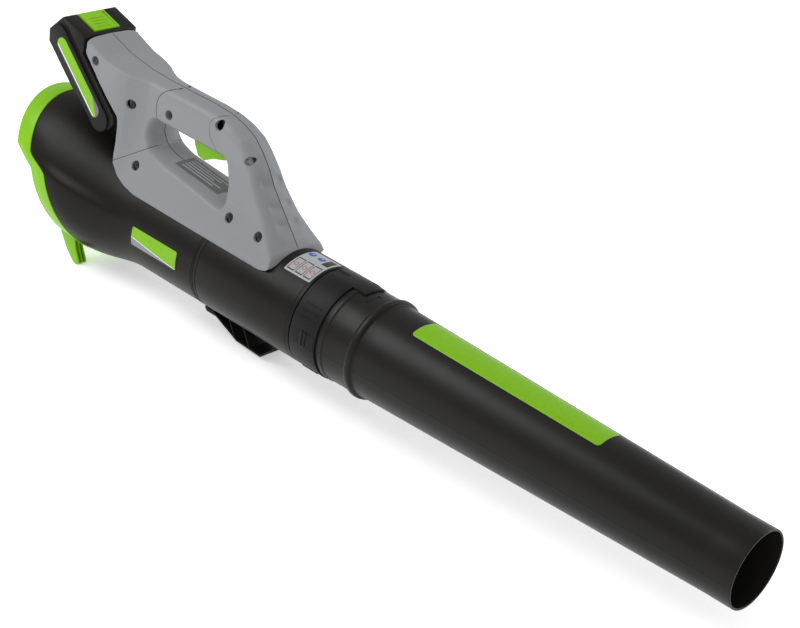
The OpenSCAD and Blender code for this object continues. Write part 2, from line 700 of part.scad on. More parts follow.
module cell_straps() color("silver") in_pack() for (s = [-1, 1]) for (i = [0 : 2])
    translate([-37.5 + 2 * cell_pitch * i, s > 0 ? cell_half + 0.02 : -cell_half - 0.27, cell_w - 4])
    cube([cell_pitch + 9, 0.25, 8]);
module pack_board() color([0.1, 0.35, 0.2]) in_pack() translate([-40, -25, 6]) cube([80, 50, 1.6]);
module pack_contacts() color("goldenrod") in_pack() for (y = blade_ys) for (s = [-1, 1])
    translate([-34, y + s * 0.8 - 0.17, -8]) cube([9, 0.34, 4]);
badge_r = 4.5;
badge_ends = [-28, pack_top - 23];
module pack_badges() color(lime) in_pack() both_sides() {
    for (u = badge_ends) translate([u, pad_half + 0.02, cell_w]) rotate([-90, 0, 0])
        cylinder(r = badge_r, h = 0.4, $fn = small_fn);
    translate([badge_ends[0], pad_half + 0.02, cell_w - badge_r])
        cube([badge_ends[1] - badge_ends[0], 0.4, 2 * badge_r]);
}

blow_tube();
locking_collar();
tube_label();
release_button();
joint_seal();
front_housing();
rear_housing();
split_seal();
vent_scoop();
housing_clip();
intake_ring();
intake_grille();
stator();
tail_cone();
motor_mounts();
motor_can();
motor_windings();
bearings();
motor_shaft();
rotor_core();
fan();
fan_nut();
motor_leads();
handle_right();
handle_left();
handle_screws();
trigger();
trigger_pin();
trigger_spring();
switch_body();
switch_plunger();
controller();
battery_dock();
terminals();
supply_leads();
body_label();
safety_label();
rating_label();
pack_case();
pack_cover();
pack_cells();
cell_straps();
pack_board();
pack_contacts();
latch_button();
latch_springs();
pack_badges();
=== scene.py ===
"""Looks of a handheld cordless axial leaf blower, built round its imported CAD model.

Lengths are metres unless a name ends in _mm. +X points out of the blow tube, +Z is up
through the handle and the user's right-hand side is -Y.
"""
import logging
import math
from dataclasses import dataclass
from enum import Enum
from functools import cached_property

import bmesh
import bpy
import numpy as np
from mathutils import Matrix, Vector


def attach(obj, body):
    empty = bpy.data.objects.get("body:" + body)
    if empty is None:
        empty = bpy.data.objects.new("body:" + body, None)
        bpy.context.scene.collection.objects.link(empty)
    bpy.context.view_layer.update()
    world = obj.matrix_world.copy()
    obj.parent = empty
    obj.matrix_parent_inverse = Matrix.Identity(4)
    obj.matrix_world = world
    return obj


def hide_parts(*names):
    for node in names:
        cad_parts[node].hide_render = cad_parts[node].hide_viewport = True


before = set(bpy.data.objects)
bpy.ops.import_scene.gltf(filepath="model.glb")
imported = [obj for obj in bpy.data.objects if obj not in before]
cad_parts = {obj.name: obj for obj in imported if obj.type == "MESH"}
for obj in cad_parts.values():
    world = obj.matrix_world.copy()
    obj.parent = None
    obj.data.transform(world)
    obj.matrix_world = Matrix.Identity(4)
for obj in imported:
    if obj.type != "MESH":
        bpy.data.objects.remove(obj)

LOG = logging.getLogger("leaf_blower")
MM = 0.001
FILM_THICK = 0.0003
SPIGOT_R = 0.0471
SPIGOT_BORE = 0.0449
SOCKET_R = 0.04745


# ---------------------------------------------------------------- finishes

class Sketch:
    """A material's node tree, with short calls for the nodes the finishes use."""

    def __init__(self, name: str) -> None:
        """Starts an empty material.

        Args:
            name: the material's name.
        """
        self.material = bpy.data.materials.new(name)
        self.material.use_nodes = True
        self.tree = self.material.node_tree
        self.tree.nodes.clear()
        self.out = self.tree.nodes.new("ShaderNodeOutputMaterial")
        self.shader = self.tree.nodes.new("ShaderNodeBsdfPrincipled")
        self.tree.links.new(self.shader.outputs[0], self.out.inputs["Surface"])

    def add(self, kind: str, **values: object) -> bpy.types.Node:
        """Adds a node and sets its properties.

        Args:
            kind: the node's class without the ShaderNode prefix.
            values: property names and values.

        Returns:
            The new node.
        """
        node = self.tree.nodes.new("ShaderNode" + kind)
        for key, value in values.items():
            setattr(node, key, value)
        return node

    def join(self, source: object, target: object) -> None:
        """Links one socket to another."""
        self.tree.links.new(source, target)

    def feed(self, socket: object, value: object) -> None:
        """Links a socket, or sets it when the value is plain."""
        if isinstance(value, bpy.types.NodeSocket):
            self.join(value, socket)
        else:
            socket.default_value = value

    def coords(self, stretch: tuple = (1.0, 1.0, 1.0), uv: bool = False) -> object:
        """Object or UV coordinates, stretched.

        Args:
            stretch: scale along each axis.
            uv: True reads the piece's UV map.

        Returns:
            The vector socket.
        """
        place = self.add("TexCoord")
        turn = self.add("Mapping")
        turn.inputs["Scale"].default_value = stretch
        self.join(place.outputs["UV" if uv else "Object"], turn.inputs["Vector"])
        return turn.outputs[0]

    def noise(self, vector: object, scale: float, detail: float = 2.0, rough: float = 0.5) -> object:
        """A noise value.

        Args:
            vector: coordinates.
            scale: cells per metre.
            detail: octaves.
            rough: how strong the small octaves are.

        Returns:
            The value socket.
        """
        node = self.add("TexNoise")
        self.join(vector, node.inputs["Vector"])
        node.inputs["Scale"].default_value = scale
        node.inputs["Detail"].default_value = detail
        node.inputs["Roughness"].default_value = rough
        return node.outputs[0]

    def spread(self, value: object, low: float, high: float, start: float = 0.3, end: float = 0.7) -> object:
        """Maps start..end of a value to low..high.

        Args:
            value: the value socket.
            low: result at start.
            high: result at end.
            start: lower input.
            end: upper input.

        Returns:
            The mapped socket.
        """
        node = self.add("MapRange", clamp=True)
        self.join(value, node.inputs[0])
        for index, number in enumerate((start, end, low, high), start=1):
            node.inputs[index].default_value = number
        return node.outputs[0]

    def maths(self, how: str, a: object, b: object = 0.0) -> object:
        """One Math node.

        Args:
            how: the operation's name.
            a: first input.
            b: second input.

        Returns:
            The value socket.
        """
        node = self.add("Math", operation=how)
        self.feed(node.inputs[0], a)
        self.feed(node.inputs[1], b)
        return node.outputs[0]

    def blend(self, share: object, a: object, b: object) -> object:
        """Mixes two colours.

        Args:
            share: how much of b.
            a: first colour.
            b: second colour.

        Returns:
            The colour socket.
        """
        node = self.add("Mix", data_type="RGBA")
        self.feed(node.inputs[0], share)
        self.feed(node.inputs[6], a)
        self.feed(node.inputs[7], b)
        return node.outputs[2]

    def bump(self, height: object, depth: float, strength: float = 1.0, under: object = None) -> object:
        """A bump, on top of another if one is given.

        Args:
            height: the height's socket.
            depth: the bump's depth in metres.
            strength: how much of it counts.
            under: the normal under it.

        Returns:
            The normal's socket.
        """
        node = self.add("Bump")
        node.inputs["Strength"].default_value = strength
        node.inputs["Distance"].default_value = depth
        self.join(height, node.inputs["Height"])
        if under is not None:
            self.join(under, node.inputs["Normal"])
        return node.outputs[0]


def rgba(colour: tuple, gain: float = 1.0) -> tuple:
    """A colour times a gain, with full alpha."""
    return tuple(min(1.0, c * gain) for c in colour[:3]) + (1.0,)


@dataclass(frozen=True)
class Moulding:
    """Injection-moulded plastic with a spark-eroded grain, slight unevenness and faint rubs."""

    name: str
    colour: tuple
    roughness: float = 0.42
    grain_mm: float = 0.55
    grain_depth: float = 0.00003
    uneven: float = 0.05
    rubs: float = 0.06
    specular: float = 0.5

    def material(self) -> bpy.types.Material:
        """Builds the node material.

        Returns:
            The material.
        """
        s = Sketch(self.name)
        place = s.coords()
        broad = s.noise(place, 14.0, 3.0)
        fine = s.noise(place, 1000.0 / self.grain_mm, 2.0, 0.6)
        streaks = s.noise(s.coords((9.0, 90.0, 70.0)), 6.0, 4.0, 0.65)
        tone = s.blend(s.spread(broad, 0.0, 1.0), rgba(self.colour, 1 - self.uneven),
                       rgba(self.colour, 1 + self.uneven))
        rub = s.spread(streaks, 0.0, 1.0, 0.63, 0.72)
        light = s.blend(s.maths("MULTIPLY", rub, 0.25), tone, rgba(self.colour, 1.25))
        s.join(light, s.shader.inputs["Base Color"])
        rough = s.maths("ADD", s.spread(broad, self.roughness - 0.03, self.roughness + 0.04),
                        s.maths("MULTIPLY", rub, self.rubs))
        s.join(rough, s.shader.inputs["Roughness"])
        s.shader.inputs["Specular IOR Level"].default_value = self.specular
        s.join(s.bump(fine, self.grain_depth, 0.6), s.shader.inputs["Normal"])
        return s.material


@dataclass(frozen=True)
class Metal:
    """Turned or drawn metal with fine lines along one axis."""

    name: str
    colour: tuple
    roughness: float = 0.28
    along: tuple = (3.0, 260.0, 260.0)

    def material(self) -> bpy.types.Material:
        """Builds the node material.

        Returns:
            The material.
        """
        s = Sketch(self.name)
        lines = s.noise(s.coords(self.along), 8.0, 4.0, 0.6)
        broad = s.noise(s.coords(), 60.0, 2.0)
        s.join(s.blend(s.spread(broad, 0.0, 1.0), rgba(self.colour, 0.85), rgba(self.colour, 1.08)),
               s.shader.inputs["Base Color"])
        s.shader.inputs["Metallic"].default_value = 1.0
        s.join(s.spread(lines, self.roughness - 0.08, self.roughness + 0.12),
               s.shader.inputs["Roughness"])
        s.join(s.bump(lines, 0.00002, 0.5), s.shader.inputs["Normal"])
        return s.material


@dataclass(frozen=True)
class Windings:
    """Enamelled copper turns laid side by side along the motor, with painted shade in the grooves between them.
    """

    name: str = "copper_turns"
    colour: tuple = (0.62, 0.25, 0.10)
    turns_per_metre: float = 900.0

    def material(self) -> bpy.types.Material:
        """Builds the node material.

        Returns:
            The material.
        """
        s = Sketch(self.name)
        wave = s.add("TexWave", wave_type="BANDS", bands_direction="X")
        s.join(s.coords(), wave.inputs["Vector"])
        wave.inputs["Scale"].default_value = self.turns_per_metre / 6.28
        # painted shade: the colour darkens from each turn's crown into the groove beside it, on the same bands as
        # the bump
        s.join(s.blend(wave.outputs["Fac"], rgba(self.colour, 0.45), rgba(self.colour, 1.1)),
               s.shader.inputs["Base Color"])
        s.shader.inputs["Metallic"].default_value = 0.85
        s.shader.inputs["Roughness"].default_value = 0.3
        s.join(s.bump(wave.outputs["Fac"], 0.0002), s.shader.inputs["Normal"])
        return s.material


class Print(Enum):
    """What is printed on a film."""

    PLAIN = "plain"
    TWO_TONE = "two_tone"
    EDGED = "edged"
    PICTOGRAMS = "pictograms"
    RULED = "ruled"


@dataclass(frozen=True)
class Film:
    """A glossy printed film, with its print drawn from the piece's UV map."""

    name: str
    ground: tuple
    ink: tuple
    print: Print = Print.PLAIN
    roughness: float = 0.3

    def inside(self, s: Sketch, u: object, v: object, box: tuple) -> object:
        """1 inside a rectangle of the print, 0 outside.

        Args:
            s: the material under way.
            u: coordinate along the film, 0 to 1.
            v: coordinate across the film, 0 to 1.
            box: (low u, high u, low v, high v).

        Returns:
            The mask socket.
        """
        sides = (s.maths("GREATER_THAN", u, box[0]), s.maths("LESS_THAN", u, box[1]),
                 s.maths("GREATER_THAN", v, box[2]), s.maths("LESS_THAN", v, box[3]))
        return s.maths("MULTIPLY", s.maths("MULTIPLY", sides[0], sides[1]), s.maths("MULTIPLY", sides[2],
                sides[3]))

    def disc(self, s: Sketch, u: object, v: object, spot: tuple) -> object:
        """1 inside a disc of the print.

        Args:
            s: the material under way.
            u: coordinate along the film.
            v: coordinate across the film.
            spot: (centre u, centre v, radius in u, v per u).

        Returns:
            The mask socket.
        """
        du = s.maths("SUBTRACT", u, spot[0])
        dv = s.maths("MULTIPLY", s.maths("SUBTRACT", v, spot[1]), spot[3])
        return s.maths("LESS_THAN", s.maths("ADD", s.maths("POWER", du, 2.0), s.maths("POWER", dv, 2.0)),
                       spot[2] ** 2)

    def artwork(self, s: Sketch, u: object, v: object) -> object:
        """The printed colours.

        Args:
            s: the material under way.
            u: coordinate along the film.
            v: coordinate across the film.

        Returns:
            The colour socket.
        """
        speck = s.spread(s.noise(s.coords(), 300.0, 2.0), 0.0, 1.0)
        colour = s.blend(speck, rgba(self.ground, 0.96), rgba(self.ground, 1.04))
        if self.print is Print.TWO_TONE:
            slant = s.maths("ADD", v, s.maths("MULTIPLY", u, 0.42))
            colour = s.blend(s.maths("LESS_THAN", slant, 0.46), colour, rgba(self.ink))
            colour = s.blend(s.maths("LESS_THAN", slant, 0.42), colour, rgba((0.24, 0.25, 0.26)))
        if self.print is Print.EDGED:
            slant = s.maths("SUBTRACT", v, s.maths("MULTIPLY", u, 3.0))
            colour = s.blend(self.inside(s, u, v, (-1, 2, -1, 0.20)), colour, rgba(self.ink))
            colour = s.blend(self.inside(s, u, v, (-1, 2, -1, 0.12)), colour, rgba((0.10, 0.10, 0.10)))
            colour = s.blend(s.maths("GREATER_THAN", slant, 0.35), colour, rgba((0.16, 0.16, 0.165)))
        if self.print is Print.PICTOGRAMS:
            for column in range(3):
                left = 0.06 + 0.31 * column
                colour = s.blend(self.inside(s, u, v, (left, left + 0.26, 0.05, 0.46)), colour,
                                 rgba(self.ink))
                colour = s.blend(self.inside(s, u, v, (left + 0.02, left + 0.24, 0.08, 0.43)), colour,
                                 rgba(self.ground))
                colour = s.blend(self.disc(s, u, v, (left + 0.13, 0.25, 0.075, 1.4)), colour,
                                 rgba((0.45, 0.03, 0.03)))
                colour = s.blend(self.disc(s, u, v, (left + 0.13, 0.25, 0.052, 1.4)), colour,
                                 rgba(self.ground))
            for left in (0.17, 0.52):
                colour = s.blend(self.disc(s, u, v, (left, 0.75, 0.12, 1.4)), colour,
                                 rgba((0.02, 0.09, 0.42)))
                colour = s.blend(self.disc(s, u, v, (left, 0.78, 0.035, 1.4)), colour, rgba(self.ground))
            colour = s.blend(self.inside(s, u, v, (0.70, 0.94, 0.58, 0.92)), colour, rgba(self.ink))
        if self.print is Print.RULED:
            for row in range(5):
                top = 0.86 - 0.16 * row
                colour = s.blend(self.inside(s, u, v, (0.08, 0.9 - 0.11 * (row % 3), top - 0.05, top)),
                                 colour, rgba(self.ink))
        return colour

    def material(self) -> bpy.types.Material:
        """Builds the node material.

        Returns:
            The material.
        """
        s = Sketch(self.name)
        split = s.add("SeparateXYZ")
        s.join(s.coords(uv=True), split.inputs[0])
        s.join(self.artwork(s, split.outputs[0], split.outputs[1]), s.shader.inputs["Base Color"])
        ripple = s.noise(s.coords(), 220.0, 2.0)
        s.join(s.spread(ripple, self.roughness - 0.05, self.roughness + 0.08),
               s.shader.inputs["Roughness"])
        s.shader.inputs["Specular IOR Level"].default_value = 0.22
        s.join(s.bump(ripple, 0.00004, 0.5), s.shader.inputs["Normal"])
        return s.material


@dataclass(frozen=True)
class Board:
    """A lacquered circuit board with tracks."""

    name: str = "circuit_board"
    colour: tuple = (0.01, 0.10, 0.04)

    def material(self) -> bpy.types.Material:
        """Builds the node material.

        Returns:
            The material.
        """
        s = Sketch(self.name)
        tracks = s.add("TexBrick")
        s.join(s.coords(), tracks.inputs["Vector"])
        tracks.inputs["Scale"].default_value = 190.0
        tracks.inputs["Color1"].default_value = rgba(self.colour)
        tracks.inputs["Color2"].default_value = rgba(self.colour, 1.6)
        tracks.inputs["Mortar"].default_value = rgba((0.10, 0.28, 0.12))
        s.join(tracks.outputs["Color"], s.shader.inputs["Base Color"])
        s.join(s.spread(s.noise(s.coords(), 90.0), 0.25, 0.4), s.shader.inputs["Roughness"])
        return s.material


class Finish(Enum):
    """Every finish on the blower."""

    BODY = Moulding("moulded_black", (0.0095, 0.0085, 0.0078), 0.34, 0.5, 0.00003, 0.06, 0.05, 0.13)
    TUBE = Moulding("tube_black", (0.0105, 0.0095, 0.0088), 0.35, 0.6, 0.00003, 0.05, 0.06, 0.17)
    SOFT = Moulding("satin_black", (0.0100, 0.0098, 0.0096), 0.46, 0.7, 0.00005, 0.05, 0.05, 0.14)
    GREY = Moulding("moulded_grey", (0.222, 0.230, 0.244), 0.46, 0.6, 0.00004, 0.035, 0.05, 0.35)
    # painted shade: a near-black finish for the strips that stand in for the shade inside the handle's parting
    # and joint lines
    SEAM = Moulding("seam_shadow", (0.022, 0.023, 0.024), 0.7, 0.5, 0.00002, 0.05, 0.05, 0.2)
    LIME = Moulding("moulded_lime", (0.195, 0.465, 0.002), 0.34, 0.7, 0.00002, 0.05, 0.04, 0.25)
    RUBBER = Moulding("soft_rubber", (0.012, 0.012, 0.012), 0.75, 0.9, 0.00008)
    WIRE = Moulding("wire_insulation", (0.30, 0.012, 0.012), 0.5, 1.2, 0.00004)
    CELL = Moulding("cell_wrap", (0.02, 0.10, 0.30), 0.35, 2.0, 0.00002)
    STEEL = Metal("bright_steel", (0.60, 0.60, 0.61))
    SCREW = Metal("black_screw", (0.05, 0.05, 0.052), 0.45, (120.0, 120.0, 3.0))
    BRASS = Metal("contact_brass", (0.72, 0.55, 0.27), 0.3)
    MAGNET = Metal("magnet_plate", (0.36, 0.36, 0.37), 0.4)
    COPPER = Windings()
    BOARD = Board()
    TUBE_FILM = Film("tube_film", (0.190, 0.445, 0.006), (0.8, 0.8, 0.8), Print.PLAIN, 0.34)
    BODY_FILM = Film("body_film", (0.190, 0.445, 0.006), (0.8, 0.8, 0.8), Print.TWO_TONE, 0.34)
    SAFETY_FILM = Film("safety_film", (0.36, 0.37, 0.38), (0.03, 0.03, 0.03), Print.PICTOGRAMS, 0.3)
    RATING_FILM = Film("rating_film", (0.10, 0.105, 0.11), (0.32, 0.33, 0.34), Print.RULED, 0.35)
    BADGE_FILM = Film("badge_film", (0.190, 0.445, 0.006), (0.8, 0.8, 0.8), Print.EDGED, 0.34)

    @property
    def cached(self) -> bpy.types.Material:
        """The finish's material, made once."""
        found = bpy.data.materials.get(self.value.name)
        return found if found else self.value.material()


# ---------------------------------------------------------------- surfaces

def ease(t: np.ndarray) -> np.ndarray:
    """Smooth step: 3t squared less 2t cubed, for t clipped to 0..1."""
    t = np.clip(t, 0.0, 1.0)
    return t * t * (3 - 2 * t)


def surface(name: str, grid: np.ndarray, around: bool = False, closed: bool = False,
            uv: np.ndarray | None = None, outside: np.ndarray | None = None) -> bpy.types.Object:
    """Makes a mesh from a grid of points worked out from two parameters.

    Each point joins its neighbours along both parameters into quads. The faces are turned so that
    a closed surface has a positive volume, or an open one faces away from a point inside it.

    Args:
        name: the piece's name.
        grid: points, shape (m, n, 3), in metres.
        around: True joins the last row to the first.
        closed: True joins the last column to the first.
        uv: texture coordinates, shape (m, n, 2).
        outside: for an open surface, a point behind it.

    Returns:
        The new object, linked to the scene.
    """
    m, n = grid.shape[:2]
    index = np.arange(m * n).reshape(m, n)
    rows = np.r_[np.arange(m), 0] if around else np.arange(m)
    cols = np.r_[np.arange(n), 0] if closed else np.arange(n)
    index = index[rows][:, cols]
    quads = np.stack([index[:-1, :-1], index[1:, :-1], index[1:, 1:], index[:-1, 1:]],
                     axis=-1).reshape(-1, 4)
    points = grid.reshape(-1, 3).astype(np.float64)
    corner = points[quads]
    cross = np.cross(corner[:, 2] - corner[:, 0], corner[:, 3] - corner[:, 1])
    centre = corner.mean(1)
    base = centre.mean(0) if outside is None else np.asarray(outside, float)
    if (cross * (centre - base)).sum() < 0:
        quads = quads[:, ::-1]
    mesh = bpy.data.meshes.new(name)
    mesh.from_pydata(points.tolist(), [], quads.tolist())
    if uv is not None:
        layer = mesh.uv_layers.new(name="UVMap")
        loops = np.empty(len(mesh.loops), dtype=np.int32)
        mesh.loops.foreach_get("vertex_index", loops)
        layer.data.foreach_set("uv", uv.reshape(-1, 2)[loops].astype(np.float32).ravel())
    mesh.update()
    piece = bpy.data.objects.new(name, mesh)
    bpy.context.scene.collection.objects.link(piece)
    return piece


def rounded(corners: list, radii: float | list, steps: int = 5, loop: bool = True) -> np.ndarray:
    """A profile with its corners rounded off.

    Each corner is replaced by a quadratic curve from a point one radius before it to one radius
    after it, and the radius is cut back to under half of the shorter side.

    Args:
        corners: (a, b) points in order.
        radii: one radius, or one for each corner.
        steps: points on each rounded corner.
        loop: True for a closed profile.

    Returns:
        Points, shape (k, 2).
    """
    p = np.asarray(corners, float)
    r = np.broadcast_to(np.asarray(radii, float), (len(p),))
    before, after = np.roll(p, 1, 0) - p, np.roll(p, -1, 0) - p
    la, lb = np.linalg.norm(before, axis=1), np.linalg.norm(after, axis=1)
    reach = np.minimum(r, 0.45 * np.minimum(la, lb))
    if not loop:
        reach[[0, -1]] = 0.0
    t = np.linspace(0, 1, steps)[None, :, None]
    a = (p + before / la[:, None] * reach[:, None])[:, None]
    b = (p + after / lb[:, None] * reach[:, None])[:, None]
    curve = (1 - t) ** 2 * a + 2 * t * (1 - t) * p[:, None] + t ** 2 * b
    flat = curve.reshape(-1, 2)
    keep = np.r_[True, np.linalg.norm(np.diff(flat, axis=0), axis=1) > 1e-7]
    return flat[keep]


def turned(name: str, profile: np.ndarray, segments: int = 192) -> bpy.types.Object:
    """A profile of (x, radius) points carried round the X axis into a closed surface.

    Args:
        name: the piece's name.
        profile: closed profile, shape (k, 2), in metres.
        segments: steps round the axis.

    Returns:
        The new object.
    """
    a = np.linspace(0, 2 * math.pi, segments, endpoint=False)[:, None]
    x, r = profile[:, 0][None], profile[:, 1][None]
    grid = np.stack([x + 0 * a, -r * np.cos(a), r * np.sin(a)], axis=-1)
    return oriented(surface(name, grid, around=True, closed=True))


def oriented(piece: bpy.types.Object) -> bpy.types.Object:
    """Turns a closed mesh's faces so that its volume is positive.

    Args:
        piece: the object.

    Returns:
        The same object.
    """
    work = bmesh.new()
    work.from_mesh(piece.data)
    if work.calc_volume(signed=True) < 0:
        bmesh.ops.reverse_faces(work, faces=work.faces)
    work.to_mesh(piece.data)
    work.free()
    return piece


def smooth(piece: bpy.types.Object, degrees: float = 32.0) -> bpy.types.Object:
    """Shades smoothly, with edges sharper than an angle kept crisp.

    Args:
        piece: the object.
        degrees: the angle.

    Returns:
        The same object.
    """
    mesh = piece.data
    mesh.polygons.foreach_set("use_smooth", np.ones(len(mesh.polygons), dtype=bool))
    mesh.set_sharp_from_angle(angle=math.radians(degrees))
    return piece


def dress(piece: bpy.types.Object, finish: Finish, body: str, slot: str, *nodes: str) -> bpy.types.Object:
    """Gives a piece its finish, its body and the CAD nodes it stands for.

    Args:
        piece: the object.
        finish: its finish.
        body: the CAD body it moves with.
        slot: not used.
        nodes: CAD nodes that it replaces.

    Returns:
        The same object.
    """
    piece.data.materials.clear()
    piece.data.materials.append(finish.cached)
    if nodes:
        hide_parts(*nodes)
    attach(piece, body)
    LOG.info("%s: %d faces on %s", piece.name, len(piece.data.polygons), body)
    return piece


def settle(piece: bpy.types.Object) -> bpy.types.Object:
    """Applies a piece's modifiers to its mesh.

    Args:
        piece: the object.

    Returns:
        The same object, with no modifiers left.
    """
    graph = bpy.context.evaluated_depsgraph_get()
    done = bpy.data.meshes.new_from_object(piece.evaluated_get(graph))
    piece.modifiers.clear()
    old = piece.data
    piece.data = done
    bpy.data.meshes.remove(old)
    return piece


def softened(node: str, width_mm: float = 0.6, segments: int = 3, angle: float = 38.0) -> bpy.types.Object:
    """A merged copy of a CAD node with its edges rounded, as a mould leaves them.

    Args:
        node: the CAD node.
        width_mm: width of the rounding.
        segments: steps across it.
        angle: edges flatter than this many degrees stay as they are.

    Returns:
        The new object.
    """
    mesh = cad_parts[node].data.copy()
    mesh.name = node + "_soft"
    work = bmesh.new()
    work.from_mesh(mesh)
    bmesh.ops.remove_doubles(work, verts=work.verts, dist=1e-6)
    bmesh.ops.dissolve_limit(work, angle_limit=math.radians(0.6), verts=work.verts, edges=work.edges)
    work.to_mesh(mesh)
    work.free()
    piece = bpy.data.objects.new(node + "_soft", mesh)
    bpy.context.scene.collection.objects.link(piece)
    edge = piece.modifiers.new("edges", "BEVEL")
    edge.width = width_mm * MM
    edge.segments = segments
    edge.limit_method = "ANGLE"
    edge.angle_limit = math.radians(angle)
    edge.use_clamp_overlap = True
    settle(piece)
    return smooth(piece, 50.0)


# ---------------------------------------------------------------- duct, tube and intake

@dataclass
class Duct:
    """The stations along the air path that every sub-assembly is placed from."""

    mouth_r: float = 0.0375
    radius: float = 0.050
    wall: float = 0.0024
    bead_x: float = -0.417
    collar_x: float = -0.458
    joint_x: float = -0.491
    split_x: float = -0.623
    bell_x: float = -0.713
    rim_x: float = -0.836
    rim_lean: float = 0.5
    rim_step: float = 0.021
    step_top: float = 0.038
    step_low: float = 0.022
    bell_r: float = 0.071
    bell_rise: float = 0.011

    def rim_at(self, z: np.ndarray) -> np.ndarray:
        """X of the stepped rim at height z: a leaning line with a smooth step forward lower down."""
        step = ease((self.step_top - z) / (self.step_top - self.step_low))
        return self.rim_x - self.rim_lean * z + self.rim_step * step

    def skin(self, t: np.ndarray, a: np.ndarray, depth: float = 0.0) -> np.ndarray:
        """A point of the bell.

        A circle whose radius and height swell by a smooth step, leaning over with t until it lies
        on the rim.

        Args:
            t: 0 at the straight duct, 1 at the rim.
            a: angle round the duct, from +Y towards +Z.
            depth: distance inside the outer skin.

        Returns:
            Points, with a last axis of three.
        """
        s = ease(t)
        r = self.radius + (self.bell_r - self.radius) * s - depth
        end = self.rim_at(self.bell_rise + self.bell_r * np.sin(a))
        return np.stack([self.bell_x + t * (end - self.bell_x), r * np.cos(a),
                         self.bell_rise * s + r * np.sin(a)], -1)

    def roof(self, x: np.ndarray, y: np.ndarray) -> np.ndarray:
        """Height of the outer skin over a point, on the straight duct or the bell.

        The angle is taken from y over a mean radius, then t from x, then the circle's own height.

        Args:
            x: positions along the duct.
            y: positions across it.

        Returns:
            The heights.
        """
        lift = np.sqrt(np.clip(1 - (y / 0.058) ** 2, 0.05, 1))
        end = self.rim_at(self.bell_rise + self.bell_r * lift)
        s = ease((self.bell_x - x) / (self.bell_x - end))
        r = self.radius + (self.bell_r - self.radius) * s
        return self.bell_rise * s + np.sqrt(np.clip(r * r - y * y, 0.0, None))


